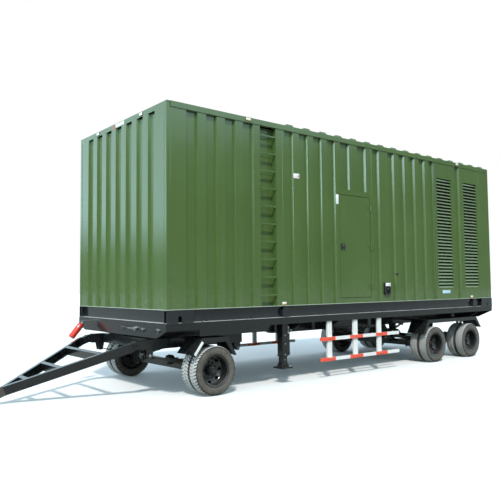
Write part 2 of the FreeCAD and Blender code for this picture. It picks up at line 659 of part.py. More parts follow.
# ------------------------------------------------------------------------------ trailer frame
def main_beams():
    """Two I-beams, shallow over the dolly and deeper behind it."""
    start, end = "frame_inset", "body_length - frame_inset"
    neck, back = "neck_end", "neck_end + neck_run"
    web_line = [(start, "rail_low"), (start, "neck_low"), (neck, "neck_low"), (back, "beam_low"),
                (end, "beam_low"), (end, "rail_low")]
    sole = [(start, "neck_low"), (neck, "neck_low"), (back, "beam_low"), (end, "beam_low"),
            (end, "beam_low + beam_flange"), (back, "beam_low + beam_flange"),
            (neck, "neck_low + beam_flange"), (start, "neck_low + beam_flange")]
    beams = []
    for side in SIDES.values():
        web = across(side, "beam_y - beam_web / 2", "beam_y + beam_web / 2")
        flange = across(side, "beam_in", "beam_out")
        beams.append(fuse(prism("y", web_line, *web), prism("y", sole, *flange),
                          block(start, end, *flange, "rail_low - beam_flange", "rail_low")))
    node("main_beams", *beams)


def cross_members():
    """Channels across the top of the main beams, the turntable bolsters and the outriggers."""
    pieces = []
    for index in range(15):
        x = f"cross_first + {index} * cross_pitch"
        section = c_section(f"{x} - cross_width / 2", f"{x} + cross_width / 2", "rail_low",
                            "-skid_height", "cross_steel")
        pieces.append(prism("y", section, "-rail_in", "rail_in"))
    section = c_section("leg_x - cross_width", "leg_x + cross_width", "rail_low", "-skid_height",
                        "cross_steel")
    pieces.append(prism("y", section, "-rail_in", "rail_in"))
    for sign in ("-1", "1"):
        x = f"front_axle_x + ({sign}) * bolster_offset"
        section = c_section(f"{x} - bolster_width / 2", f"{x} + bolster_width / 2", "neck_low",
                            "rail_low", "cross_steel")
        pieces.append(prism("y", section, "-(beam_in)", "beam_in"))
    for side in SIDES.values():
        for x in ("gusset_neck", "gusset_leg", "gusset_door", "gusset_axle", "gusset_tail"):
            section = [(f"{side} * half_width", "rail_low"), (f"{side} * beam_out", "rail_low"),
                       (f"{side} * beam_out", "rail_low - gusset_depth"),
                       (f"{side} * (half_width - gusset_reach)", "rail_low - gusset_depth")]
            if x == "gusset_neck":
                section[2] = (section[2][0], "neck_low + gusset_clear")
                section[3] = (f"{side} * (half_width - gusset_nose)", "neck_low + gusset_clear")
            pieces.append(prism("x", section, x, f"{x} + gusset_thick"))
    node("cross_members", *pieces)


def side_rails():
    """Edge channels with the skirt plates hung below them beside the dolly."""
    pieces = []
    for side in SIDES.values():
        section = c_section(f"{side} * half_width", f"{side} * rail_in", "rail_low", "-skid_height",
                            "rail_steel")
        pieces.append(prism("x", section, "0", "body_length"))
        skirt = [("skirt_front", "rail_low"), ("skirt_rear", "rail_low"),
                 ("skirt_rear - skirt_slant", "rail_low - skirt_depth"),
                 ("skirt_front", "rail_low - skirt_depth")]
        pieces.append(prism("y", skirt, *across(side, "half_width - end_plate", "half_width")))
    node("edge_rails", *pieces, *end_plates())


def end_plates():
    """Tapered plates that close the frame at both ends."""
    def tapered(depth, taper, shoulder, x0, x1):
        low = f"-skid_height - {shoulder} - {depth}"
        corners = [("half_width", "-skid_height"), ("half_width", f"-skid_height - {shoulder}"),
                   (f"half_width - {taper}", low)]
        mirrored = [(f"-({y})", z) for y, z in reversed(corners)]
        return prism("x", corners + mirrored, x0, x1)
    return [tapered("neck_depth", "front_taper", "rail_height", "-end_plate", "0"),
            tapered("rear_depth", "rear_taper", "rail_height", "body_length",
                    "body_length + end_plate")]


def side_guards():
    posts, rails = [], []
    end = "guard_front + guard_length"
    for side in SIDES.values():
        for index in range(3):
            x = f"guard_post_first + {index} * guard_post_pitch"
            posts.append(block(f"{x} - guard_post / 2", f"{x} + guard_post / 2",
                               *across(side, "guard_in - guard_post_thick", "guard_in"),
                               "guard_low", "rail_low"))
        for z in ("guard_upper", "guard_low"):
            rails.append(block("guard_front", end, *across(side, "guard_in", "half_width"),
                               z, f"{z} + guard_rail_height"))
    node("side_guards", *posts, *rails)


def fender_path(points, drop):
    """A band that follows an arch of four corners, drop deep at every side."""
    (x0, z0), (x1, z1), (x2, z2), (x3, z3) = points
    foot, knee = f"fender_foot * {drop}", f"fender_knee * {drop}"
    inner = [(f"{x3} - {foot}", z3), (f"{x2} - {knee}", f"{z2} - {drop}"),
             (f"{x1} + {knee}", f"{z1} - {drop}"), (f"{x0} + {foot}", z0)]
    return list(points) + inner


def fender(side, points, stays, root):
    """A folded mudguard with a deep outer lip, carried on stays that start at the beam's face, root."""
    sheet_part = prism("y", fender_path(points, "fender_sheet"),
                       *across(side, "fender_in", "half_width - fender_sheet"))
    lip = prism("y", fender_path(points, "fender_lip"),
                *across(side, "half_width - fender_sheet", "half_width"))
    arms = []
    top = f"{points[1][1]} - fender_sheet"
    for x in stays:
        arms.append(block(x, f"{x} + stay", *across(side, root, "half_width - fender_sheet"),
                          f"{top} - stay", top))
    return [fuse(sheet_part, lip)] + arms


def rear_fenders():
    pieces = []
    points = [("rear_arch_front", "rear_arch_foot"), ("rear_arch_front + rear_arch_slant", "neck_low"),
              ("rear_arch_rear - rear_arch_slope", "neck_low"), ("rear_arch_rear", "rear_arch_heel")]
    stays = ("rear_stay_first", "rear_stay_second", "rear_stay_third")
    for side in SIDES.values():
        pieces += fender(side, points, stays, "beam_y + beam_web / 2")
    node("rear_fenders", *pieces)


def landing_legs():
    outers, feet, jacks = [], [], []
    for side in SIDES.values():
        y = f"{side} * leg_y"
        half = "leg_size / 2"
        shell = block(f"leg_x - {half}", f"leg_x + {half}", f"{y} - {half}", f"{y} + {half}",
                      "leg_outer_low", "rail_low")
        room = "leg_inner / 2 + leg_fit"
        well = block(f"leg_x - ({room})", f"leg_x + {room}", f"{y} - ({room})", f"{y} + {room}",
                     "leg_outer_low - 1", "rail_low - leg_cap")
        outers.append(cut(shell, well))
        core = "leg_inner / 2"
        tube = block(f"leg_x - {core}", f"leg_x + {core}", f"{y} - {core}", f"{y} + {core}",
                     "leg_foot_low + foot_thick", "leg_outer_low + leg_grip")
        wide, top = "foot_size / 2", "leg_foot_low + foot_thick"
        shoe = block(f"leg_x - {wide}", f"leg_x + {wide}", f"{y} - {wide}", f"{y} + {wide}",
                     "leg_foot_low", top)
        collar = prism("y", [(f"leg_x - {wide} + 20", top), (f"leg_x + {wide} - 20", top),
                             (f"leg_x + {core}", f"{top} + foot_collar"),
                             (f"leg_x - {core}", f"{top} + foot_collar")],
                       f"{y} - {core}", f"{y} + {core}")
        feet.append(fuse(tube, shoe, collar))
        jack_x = f"leg_x + {half} + jack_radius"
        jacks.append(rod("z", jack_x, y, "leg_outer_low", "jack_radius", "jack_length"))
        jacks.append(rod("z", jack_x, y, "leg_outer_low + jack_length", "jack_radius / 1.5", "jack_neck"))
    node("landing_legs", *outers, *jacks)
    node("landing_feet", *feet)


def front_fittings():
    """Couplings and the lever on the front plate, and the extinguisher with its arm."""
    plugs = []
    for y, z in (("-socket_inner", "socket_z"), ("-socket_outer", "socket_z + 8")):
        plugs.append(fuse(rod("x", "-end_plate - socket_length", y, z, "socket_radius", "socket_length"),
                          rod("x", "-end_plate - socket_rim", y, z, "socket_radius + 10", "socket_rim")))
    plugs.append(rod("x", "-end_plate - extinguisher_arm", "extinguisher_y", "extinguisher_arm_z", "12",
                     "extinguisher_arm"))
    node("coupling_sockets", *plugs)
    boss = rod("x", "-end_plate - lever_boss", "-lever_y", "lever_z", "lever_boss", "lever_boss - fork_gap")
    bar = block("-end_plate - lever_boss", "-end_plate - lever_boss + 16", "-lever_y", "-lever_grip_y + 20",
                "lever_z - 13", "lever_z + 13")
    grip = rod("y", "-end_plate - lever_boss + 8", "-lever_grip_y", "lever_z", "lever_grip", "160")
    node("brake_lever", fuse(boss, bar, grip))
    long, wide, neck = "bottle_length", "bottle_radius", "bottle_neck"
    section = [("0", "0"), (wide, "0"), (wide, f"{long} - 68"), (f"{wide} - 15", f"{long} - 33"),
               (neck, f"{long} - {neck}"), (neck, long), ("0", long)]
    foot = ("bottle_x", "extinguisher_y", "bottle_z")
    bottle = turned("z", section, *foot)
    bottle.Placement.Rotation = FreeCAD.Rotation(FreeCAD.Vector(0, 1, 0), size("bottle_tilt"))
    node("fire_extinguisher", put(bottle, *foot))


# ------------------------------------------------------------------------------ axles and springs
def spring_shape(front, back):
    """A leaf pack, highest at its eyes, with its lower leaves shorter; its clamp is at x = 0."""
    leaves = int(round(size("spring_pack") / size("leaf")))
    rise, leaf, seat = size("camber"), size("leaf"), 0.0

    def height(x, layer):
        reach = front if x < 0 else back
        return seat + size("spring_pack") + rise * (x / reach) ** 2 - layer * leaf

    def run(start, end, layer, steps=6):
        xs = [start + (end - start) * index / steps for index in range(steps + 1)]
        return [(x, height(x, layer)) for x in xs]

    share = [1 - 0.11 * layer for layer in range(leaves)] + [0]
    corners = run(-front, 0, 0) + run(0, back, 0)[1:]
    for layer in range(leaves):
        corners += run(back * share[layer], back * share[layer + 1], layer + 1, 3)
    for layer in reversed(range(leaves)):
        corners += run(-front * share[layer + 1], -front * share[layer], layer + 1, 3)
    kept = [corners[0]]
    for corner in corners[1:]:
        if math.dist(corner, kept[-1]) > 0.01:
            kept.append(corner)
    points = [FreeCAD.Vector(x, 0, z) for x, z in kept]
    half = size("spring_width") / 2
    pack = Part.Face(Part.makePolygon(points + points[:1])).extrude(FreeCAD.Vector(0, 2 * half, 0))
    pack.translate(FreeCAD.Vector(0, -half, 0))
    for x in (-front, back):
        centre = FreeCAD.Vector(x, -half, size("spring_pack") + rise - leaf / 2)
        eye = Part.makeCylinder(size("spring_eye"), 2 * half, centre, DIRECTION["y"])
        bore = Part.makeCylinder(size("spring_pin") + size("running"), 2 * half, centre, DIRECTION["y"])
        pack = pack.fuse(eye).cut(bore)
    return pack


def spring(x, y, front, back):
    thing = add("Part::Feature", "spring")
    thing.Shape = spring_shape(front, back)
    return put(thing, x, y, "spring_seat")


def hanger(side, eyes, top):
    """Two cheeks and the pins through them, below a beam, for the spring eyes at the X values."""
    first, last = eyes[0], eyes[-1]
    low = "eye_z - hanger_toe"
    section = [(f"{first} - hanger_half", top), (f"{last} + hanger_half", top),
               (f"{last} + hanger_toe", low), (f"{first} - hanger_toe", low)]
    gap = "spring_width / 2 + fork_gap"
    centre = f"{side} * beam_y"
    pieces = []
    for hand in ("-1", "1"):
        inner = f"{centre} + ({hand}) * ({gap})"
        outer = f"{centre} + ({hand}) * ({gap} + hanger_cheek)"
        span = (outer, inner) if hand == "-1" else (inner, outer)
        cheek = prism("y", section, *span)
        bores = [rod("y", x, f"{span[0]} - 1", "eye_z", "spring_pin + running", "hanger_cheek + 2")
                 for x in eyes]
        pieces.append(cut(cheek, *bores))
    for x in eyes:
        pieces.append(rod("y", x, f"{centre} - ({gap} + hanger_cheek + 6)", "eye_z", "spring_pin",
                          f"2 * ({gap} + hanger_cheek + 6)"))
    return pieces


def axle_clamp(side, x):
    """Top and bottom plates with the four rods that tie a spring to its axle."""
    y = f"{side} * beam_y"
    bend = "camber * (clamp_half / spring_half) ^ 2"
    top, bottom = f"spring_seat + spring_pack + {bend} + 3 * race_gap", "axle_z - axle_size / 2"
    plates = [block(f"{x} - clamp_half", f"{x} + clamp_half", f"{y} - 60", f"{y} + 60", top, f"{top} + 16"),
              block(f"{x} - clamp_half", f"{x} + clamp_half", f"{y} - 60", f"{y} + 60",
                    f"{bottom} - 16", bottom)]
    for along in ("-70", "70"):
        for over in ("-49", "49"):
            plates.append(rod("z", f"{x} + ({along})", f"{y} + ({over})", f"{bottom} - 30", "u_bolt",
                              f"{top} - ({bottom}) + 60"))
    return fuse(*plates)


def axle(x):
    """A square beam with a turned spindle at each end."""
    half = "axle_size / 2"
    end = "mate_y + spindle_length"
    beam = block(f"{x} - {half}", f"{x} + {half}", "-axle_half", "axle_half", f"axle_z - {half}",
                 f"axle_z + {half}")
    return fuse(beam, rod("y", x, f"-({end})", "axle_z", "spindle", f"2 * ({end})"))


def rear_suspension():
    springs, hangers = [], []
    first, second = "rear_axle_x", "rear_axle_x + axle_spacing"
    half = size("spring_half")
    for side in SIDES.values():
        y = f"{side} * beam_y"
        springs += [spring(x, y, half, half) for x in (first, second)]
        hangers += hanger(side, [f"{first} - spring_half"], "beam_low")
        hangers += hanger(side, [f"{first} + spring_half", f"{second} - spring_half"], "beam_low")
        hangers += hanger(side, [f"{second} + spring_half"], "beam_low")
        hangers += [axle_clamp(side, x) for x in (first, second)]
    node("rear_springs", *springs)
    node("rear_hangers", *hangers)
    node("rear_axles", axle(first), axle(second))


# ------------------------------------------------------------------------------ dolly
def dolly():
    """The steered front frame: box side beams, cross beams and the turntable's lower race."""
    front_end = "hinge_x + hinge_eye + 5"
    pieces = []
    for side in SIDES.values():
        tube = block(front_end, "dolly_rear", *across(side, "beam_in", "beam_out"), "dolly_low",
                     "dolly_top")
        bore = block(f"{front_end} - 1", "dolly_rear + 1",
                     *across(side, "beam_in + dolly_tube", "beam_out - dolly_tube"),
                     "dolly_low + dolly_tube", "dolly_top - dolly_tube")
        pieces.append(cut(tube, bore))
        for inner, outer in (("beam_in - cheek", "beam_in"), ("beam_out", "beam_out + cheek")):
            span = across(side, inner, outer)
            plate = block("hinge_x", "hinge_x + 240", *span, "hinge_z - hinge_eye",
                          "hinge_z + hinge_eye")
            tip = rod("y", "hinge_x", span[0], "hinge_z", "hinge_eye", "cheek")
            hole = rod("y", "hinge_x", f"{span[0]} - 1", "hinge_z", "hinge_bolt + running", "cheek + 2")
            pieces.append(cut(fuse(plate, tip), hole))
        pin_y = across(side, "beam_in - cheek - 20", "beam_out + cheek + 20")
        pieces.append(rod("y", "hinge_x", pin_y[0], "hinge_z", "hinge_bolt",
                          "beam_width + 2 * cheek + 40"))
    for x, wide in (("150", "80"), ("front_axle_x - bolster_offset", "bolster_width"),
                    ("front_axle_x + bolster_offset", "bolster_width"), ("dolly_rear - 60", "80")):
        section = c_section(f"{x} - {wide} / 2", f"{x} + {wide} / 2", "dolly_low", "dolly_top",
                            "rail_steel")
        pieces.append(prism("y", section, "-(beam_in)", "beam_in"))
    node("turntable_lower_race", ring("z", "front_axle_x", "0", "dolly_top", "ring_outer",
                                      "ring_inner", "ring_height"))
    node("turntable_upper_race", ring("z", "front_axle_x", "0", "neck_low - ring_height",
                                      "ring_outer", "ring_inner", "ring_height"))
    springs = []
    for side in SIDES.values():
        springs.append(spring("front_axle_x", f"{side} * beam_y", size("spring_front"),
                              size("spring_back")))
        pieces += hanger(side, ["front_axle_x - spring_front"], "dolly_low")
        pieces += hanger(side, ["front_axle_x + spring_back"], "dolly_low")
        pieces.append(axle_clamp(side, "front_axle_x"))
    node("dolly_frame", *pieces)
    node("dolly_springs", *springs)
    node("dolly_axle", axle("front_axle_x"))
    points = [("dolly_arch_front", "dolly_arch_foot"), ("dolly_arch_front + dolly_arch_slant", "fender_top"),
              ("dolly_arch_rear - dolly_arch_slope", "fender_top"), ("dolly_arch_rear", "dolly_arch_heel")]
    mudguards = []
    for side in SIDES.values():
        mudguards += fender(side, points, ("dolly_stay_first", "dolly_stay_second"), "beam_out")
    node("dolly_fenders", *mudguards)


# ------------------------------------------------------------------------------ drawbar
def drawbar():
    """Two channel arms in an A with three steps, and the nose with its towing eye."""
    half_depth = "arm_depth / 2"
    arms = []
    for side in SIDES.values():
        outer_nose = "arm_slope * (tongue_length - nose_at)"
        reach = "arm_offset / arm_slope"
        outer = [("-arm_start", f"{side} * beam_out"), ("-nose_at", f"{side} * {outer_nose}"),
                 ("-nose_at", "0"), (f"-(tongue_length - {reach})", "0"),
                 ("-arm_start", f"{side} * (beam_out - arm_offset)")]
        web = "arm_web * sqrt(1 + arm_slope * arm_slope)"
        hollow = [("-arm_start - 60", f"{side} * (beam_out - 60 * arm_slope - {web})"),
                  (f"-(tongue_length - {web} / arm_slope)", "0"),
                  (f"-(tongue_length - {reach}) + 2", "0"),
                  ("-arm_start - 60", f"{side} * (beam_out - 62 * arm_slope - arm_offset)")]
        full = prism("z", outer, f"-{half_depth}", half_depth)
        pocket = prism("z", hollow, f"-{half_depth} + arm_web", f"{half_depth} - arm_web")
        knuckle_y = across(side, "beam_in + fork_gap", "beam_out - fork_gap")
        eye = rod("y", "0", knuckle_y[0], "0", "hinge_eye", "beam_width - 2 * fork_gap")
        neck = block("-arm_start - 5", "0", *knuckle_y, "-hinge_eye", "hinge_eye")
        bore = rod("y", "0", f"{knuckle_y[0]} - 1", "0", "hinge_bolt + running", "beam_width + 2")
        arms.append(cut(fuse(cut(full, pocket), eye, neck), bore))
    steps = []
    for at in ("step_first", "step_second", "step_third"):
        edge = [f"{at} - step_width / 2", f"{at} + step_width / 2"]
        reach = [f"(arm_slope * (tongue_length - ({u})) - arm_offset)" for u in edge]
        top = [(f"-({edge[0]})", f"-{reach[0]}"), (f"-({edge[1]})", f"-{reach[1]}"),
               (f"-({edge[1]})", reach[1]), (f"-({edge[0]})", reach[0])]
        flange = prism("z", top, f"{half_depth} - arm_web", half_depth)
        web = block(f"-({edge[1]})", f"-({edge[1]}) + arm_web", f"-{reach[1]}", reach[1],
                    f"-{half_depth}", half_depth)
        steps.append(fuse(flange, web))
    tongue_node("drawbar_frame", *arms, *steps)
    nose_half = "(arm_slope * (tongue_length - nose_at))"
    nose = block("-eye_centre + eye_outer", "-nose_at", f"-{nose_half}", nose_half, f"-{half_depth}",
                 half_depth)
    shank = block("-eye_centre", "-eye_centre + eye_outer + 5", "-30", "30", "-eye_thick / 2",
                  "eye_thick / 2")
    loop = rod("z", "-eye_centre", "0", "-eye_thick / 2", "eye_outer", "eye_thick")
    bore = rod("z", "-eye_centre", "0", "-eye_thick", "eye_bore", "2 * eye_thick")
    tongue_node("tow_eye", cut(fuse(nose, shank, loop), bore))


# ------------------------------------------------------------------------------ wheels
def rim(x, mate, face):
    """A wheel disc and rim with hand holes; it is bolted at mate and its dish opens towards face."""
    body = add("PartDesign::Body", "rim")
    section = attached(body, "XY_Plane", "section")
    inner, low, high = "rim_seat - rim_wall", "rim_offset - rim_half", "rim_offset + rim_half"
    outline(section, [
        ("hub_hole", "0"), ("disc_flat", "0"), (inner, low), ("rim_flange", low),
        ("rim_flange", f"{low} + rim_lip"), ("rim_seat", f"{low} + rim_lip"),
        ("rim_seat", f"{high} - rim_lip"), ("rim_flange", f"{high} - rim_lip"),
        ("rim_flange", high), (inner, high), (inner, f"{low} + 12"),
        ("disc_flat - 2", "disc_thick"), ("hub_hole", "disc_thick")])
    spun = body.newObject("PartDesign::Revolution", "spun")
    spun.Profile = section
    spun.ReferenceAxis = (origin_feature(body, "Y_Axis"), [""])
    spun.Angle = 360
    hole = attached(body, "XZ_Plane", "hand_hole")
    hole.addGeometry(Part.Circle(FreeCAD.Vector(0, 180, 0), DIRECTION["z"], 20), False)
    radius = hole.addConstraint(Sketcher.Constraint("Radius", 0, 20.0))
    bind(hole, f"Constraints[{radius}]", "hand_hole")
    hole.addConstraint(Sketcher.Constraint("PointOnObject", 0, 3, -2))
    away = hole.addConstraint(Sketcher.Constraint("DistanceY", -1, 1, 0, 3, 180.0))
    bind(hole, f"Constraints[{away}]", "hand_hole_at")
    pocket = body.newObject("PartDesign::Pocket", "first_hole")
    pocket.Profile = hole
    pocket.Type = "ThroughAll"
    pocket.Midplane = True
    pattern = body.newObject("PartDesign::PolarPattern", "hand_holes")
    pattern.Originals = [pocket]
    pattern.Axis = (origin_feature(body, "Y_Axis"), [""])
    pattern.Angle = 360
    bind(pattern, "Occurrences", "hand_holes")
    body.Tip = pattern
    if face == NEAR:
        body.Placement.Rotation = FreeCAD.Rotation(DIRECTION["z"], 180)
    return put(body, x, mate, "axle_z")


def tyre(x, mate, face):
    half = [("rim_seat + bead_gap", "74.7"), ("rim_flange + 1", "74.7"), ("262", "92"),
            ("300", "tyre_half"), ("tyre_radius - 25", "tyre_half - 5.5"),
            ("tyre_radius - 6", "tyre_half - 17"), ("tyre_radius", "tyre_half - 34")]
    section = [(radius, f"{face} * (rim_offset + {y})") for radius, y in half]
    section += [(radius, f"{face} * (rim_offset - ({y}))") for radius, y in reversed(half)]
    return turned("y", section, x, mate, "axle_z")


def hub(x, mate, face):
    """The hub that turns on the spindle, its flange behind both discs and its cap outside."""
    bore = "spindle + running"
    section = [(bore, "-185"), ("90", "-185"), ("90", "-25"), ("140", "-25"),
               ("140", "-disc_thick - bead_gap"), ("hub_hole - bead_gap", "-disc_thick - bead_gap"),
               ("hub_hole - bead_gap", "60"), ("64", "95"), ("50", "95"), ("50", "124"), ("42", "130"),
               ("0", "130"), ("0", "spindle_length + 2"), (bore, "spindle_length + 2")]
    return turned("y", [(radius, f"{face} * ({y})") for radius, y in section], x, mate, "axle_z")


def wheels():
    places = {"front": "front_axle_x", "middle": "rear_axle_x", "rear": "rear_axle_x + axle_spacing"}
    for place, x in places.items():
        for name, side in SIDES.items():
            mate = f"{side} * mate_y"
            node(f"{place}_{name}_tyres", tyre(x, mate, side), tyre(x, mate, -side))
            node(f"{place}_{name}_rims", rim(x, mate, side), rim(x, mate, -side), hub(x, mate, side))


# ------------------------------------------------------------------------------ machinery
def engine():
    """A hollow block open at both ends, end plates with the main bearings, heads and feet."""
    start, end = "block_front", "block_front + block_length"
    outer = [("330", "shaft_z - 330"), ("400", "shaft_z + 250"), ("640", "shaft_z + 800"),
             ("320", "shaft_z + 950")]
    inner = [("280", "shaft_z - 280"), ("345", "shaft_z + 260"), ("560", "shaft_z + 790"),
             ("300", "shaft_z + 890")]
    whole = outer + [(f"-{y}", z) for y, z in reversed(outer)]
    room = inner + [(f"-{y}", z) for y, z in reversed(inner)]
    pieces = [cut(prism("x", whole, start, end), prism("x", room, f"{start} - 1", f"{end} + 1"))]
    for x in (f"{start} - 40", end):
        plate = block(x, f"{x} + 40", "-330", "330", "shaft_z - 330", "shaft_z + 330")
        pieces.append(cut(plate, rod("x", f"{x} - 1", "0", "shaft_z", "shaft_radius + running", "42")))
    for side in SIDES.values():
        for x in (f"{start} + 200", f"{end} - 360"):
            pieces.append(block(x, f"{x} + foot_width", *across(side, "150", "330"), "floor_thick",
                                "shaft_z - 330"))
    node("engine_block", *pieces)


def alternator():
    start, end = "alternator_front", "alternator_front + alternator_length"
    pieces = [ring("x", start, "0", "shaft_z", "stator_outer", "stator_inner", "alternator_length")]
    for x in (f"{start} - 30", end):
        pieces.append(ring("x", x, "0", "shaft_z", "stator_outer - 40", "shaft_radius + running", "30"))
    for side in SIDES.values():
        span = across(side, "150", "330")
        foot = block(f"{start} + 100", f"{end} - 100", *span, "floor_thick", "shaft_z - 280")
        relief = rod("x", f"{start} + 90", "0", "shaft_z", "stator_outer + race_gap",
                     "alternator_length")
        pieces.append(cut(foot, relief))
    node("alternator_stator", *pieces)
    rotor = [("0", "alternator_front - 90"), ("shaft_radius", "alternator_front - 90"),
             ("shaft_radius", "alternator_front + 80"), ("rotor_radius", "alternator_front + 80"),
             ("rotor_radius", "alternator_front + 800"), ("shaft_radius", "alternator_front + 800"),
             ("shaft_radius", "block_front + block_length + 90"),
             ("0", "block_front + block_length + 90")]
    node("rotor_crankshaft", turned("x", rotor, "0", "0", "shaft_z"))


def cooling():
    """The radiator in its stand, the fan on its own short shaft, and the shroud's bearing bar."""
    x = "radiator_x"
    core = block(x, f"{x} + radiator_thick", "-radiator_half", "radiator_half", "160", "radiator_top")
    legs = [block(x, f"{x} + radiator_thick", *across(side, "radiator_half - 200", "radiator_half"),
                  "floor_thick", "160") for side in SIDES.values()]
    bar = block("fan_x - 90", "fan_x - 40", "-60", "60", "floor_thick", "fan_z + 60")
    bearing = rod("x", "fan_x - 91", "0", "fan_z", "25 + running", "52")
    node("radiator", core, *legs, cut(bar, bearing))
    shaft = rod("x", "fan_x - 130", "0", "fan_z", "25", "200")
    boss = rod("x", "fan_x - 20", "0", "fan_z", "90", "60")
    blades = []
    for index in range(8):
        blade = add("Part::Box", "blade")
        bind(blade, "Length", "8")
        bind(blade, "Width", "fan_radius - 60")
        bind(blade, "Height", "180")
        turn = FreeCAD.Rotation(DIRECTION["x"], 45 * index)
        lean = FreeCAD.Rotation(DIRECTION["y"], 30)
        blade.Placement = FreeCAD.Placement(FreeCAD.Vector(0, 0, 0), turn * lean)
        blades.append(put(blade, "fan_x + 2", "0", "fan_z"))
        offset = turn.multVec(FreeCAD.Vector(-45, 60, -78))
        put(blade, f"fan_x + 6 + {offset.x}", f"{offset.y}", f"fan_z + {offset.z}")
    node("cooling_fan", fuse(shaft, boss, *blades))


def services():
    """Fuel tank, control cabinet and silencer."""
    start, end = "tank_front", "tank_front + tank_length"
    low, top = "floor_thick", "floor_thick + tank_height"
    tub = block(start, end, "-tank_half", "tank_half", low, top)
    room = block(f"{start} + tank_sheet", f"{end} - tank_sheet", "-tank_half + tank_sheet",
                 "tank_half - tank_sheet", f"{low} + tank_sheet", f"{top} + 1")
    lid = block(start, end, "-tank_half", "tank_half", top, f"{top} + tank_sheet")
    node("fuel_tank", cut(tub, room), fuse(lid, rod("z", f"{start} + 200", "0", top, "60", "60")))
    x0, x1 = "cabinet_front", "cabinet_front + cabinet_length"
    y0, y1 = "cabinet_in", "cabinet_in + cabinet_depth"
    z0, z1 = "floor_thick", "floor_thick + cabinet_height"
    case = block(x0, x1, y0, y1, z0, z1)
    inside = block(f"{x0} + 4", f"{x1} - 4", f"{y0} - 1", f"{y1} - 4", f"{z0} + 4", f"{z1} - 4")
    front = block(x0, x1, f"{y0} - 22", y0, z0, z1)
    node("control_cabinet", cut(case, inside), front)
    shell = ring("x", "silencer_front", "0", "silencer_z", "silencer_radius", "silencer_radius - 5",
                 "silencer_length")
    caps = [rod("x", x, "0", "silencer_z", "silencer_radius", "12")
            for x in ("silencer_front - 12", "silencer_front + silencer_length")]
    top = "roof_top - 2 * sheet"
    straps = []
    for x in ("silencer_front + 200", "silencer_front + silencer_length - 260"):
        strap = block(x, f"{x} + 60", "-100", "100", "silencer_z + silencer_radius - 60", top)
        relief = rod("x", f"{x} - 1", "0", "silencer_z", "silencer_radius + race_gap", "62")
        straps.append(cut(strap, relief))
    node("exhaust_silencer", shell, *caps, *straps)


# ------------------------------------------------------------------------------ the whole vehicle
def build():
    for side in SIDES.values():
        side_wall(side)
    ladder()
    end_walls()
    roof()
    housing_floor()
    louvres()
    node("door_hinges", *door("near", NEAR), *door("far", FAR))
    small_fittings()
    skid()
    main_beams()
    cross_members()
    side_rails()
    side_guards()
    rear_fenders()
    landing_legs()
    front_fittings()
    rear_suspension()
    dolly()
    drawbar()
    wheels()
    engine()
    alternator()
    cooling()
    services()


def export():
    document.recompute()
    for item in document.Objects:
        if "Invalid" in item.State or "Error" in item.State:
            raise RuntimeError(f"{item.Name} ({item.Label}) did not compute: {item.State}")
    for item in NODES:
        if item.Shape.isNull() or not item.Shape.isValid() or not item.Shape.Solids:
            raise RuntimeError(f"{item.Label} has no valid solid")
    os.makedirs("parts", exist_ok=True)
    for item in NODES:
        item.Shape.exportStep(f"parts/{item.Label}.step")
        print(item.Label, len(item.Shape.Solids), round(item.Shape.Volume / 1e9, 4))
    print(len(NODES), "nodes")


build()
export()
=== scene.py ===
# The looks of a towable diesel generator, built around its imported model. Metres, in the model's own
# frame: +X runs along the vehicle to its rear, +Y to the side away from the ladder, +Z up.
import math

import bmesh
import bpy
from mathutils import Matrix, Vector


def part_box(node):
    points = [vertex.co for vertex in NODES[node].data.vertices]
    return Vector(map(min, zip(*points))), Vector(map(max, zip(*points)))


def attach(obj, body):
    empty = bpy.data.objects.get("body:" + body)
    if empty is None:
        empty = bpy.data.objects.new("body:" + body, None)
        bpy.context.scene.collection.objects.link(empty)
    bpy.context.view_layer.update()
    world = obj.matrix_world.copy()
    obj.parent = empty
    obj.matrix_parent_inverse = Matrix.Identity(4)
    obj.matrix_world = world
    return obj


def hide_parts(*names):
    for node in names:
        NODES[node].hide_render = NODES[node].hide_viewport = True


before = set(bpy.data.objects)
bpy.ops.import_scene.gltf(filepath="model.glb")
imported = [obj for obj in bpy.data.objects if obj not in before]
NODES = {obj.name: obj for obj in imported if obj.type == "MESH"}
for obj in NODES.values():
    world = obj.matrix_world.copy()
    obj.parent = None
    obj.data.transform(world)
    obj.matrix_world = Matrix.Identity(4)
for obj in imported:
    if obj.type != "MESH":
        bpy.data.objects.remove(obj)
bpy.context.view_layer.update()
NEAR, FAR = -1, 1
SIDES = {"near": NEAR, "far": FAR}

# Places that many pieces share, read from the frame.
HOUSING_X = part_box("skid_corner_plates")[0].x
HOUSING_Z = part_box("skid_corner_plates")[1].z
ROOF_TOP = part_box("roof")[1].z


def place(x, y, z):
    """A point given from the housing's lower front edge, as the design gives it."""
    return Vector((HOUSING_X + x, y, HOUSING_Z + z))


# ------------------------------------------------------------------------------ camera and light
def camera():
    """Stands at the near front corner, at eye height, turned to the housing and a little upward."""
    yaw, pitch, roll = math.radians(39.140), math.radians(3.376), math.radians(-0.533)
    ahead = Vector((math.sin(yaw) * math.cos(pitch), math.cos(yaw) * math.cos(pitch), math.sin(pitch)))
    right = Vector((math.cos(yaw), -math.sin(yaw), 0.0))
    up = right.cross(ahead)
    leaned = math.cos(roll) * right + math.sin(roll) * up
    upright = math.cos(roll) * up - math.sin(roll) * right
    data = bpy.data.cameras.new("camera")
    data.lens, data.sensor_width = 42.715, 36.0
    data.clip_end = 200.0
    made = bpy.data.objects.new("camera", data)
    bpy.context.scene.collection.objects.link(made)
    turn = Matrix((leaned, upright, -ahead)).transposed().to_4x4()
    made.matrix_world = Matrix.Translation(place(-4.396, -8.785, 0.349)) @ turn
    bpy.context.scene.camera = made


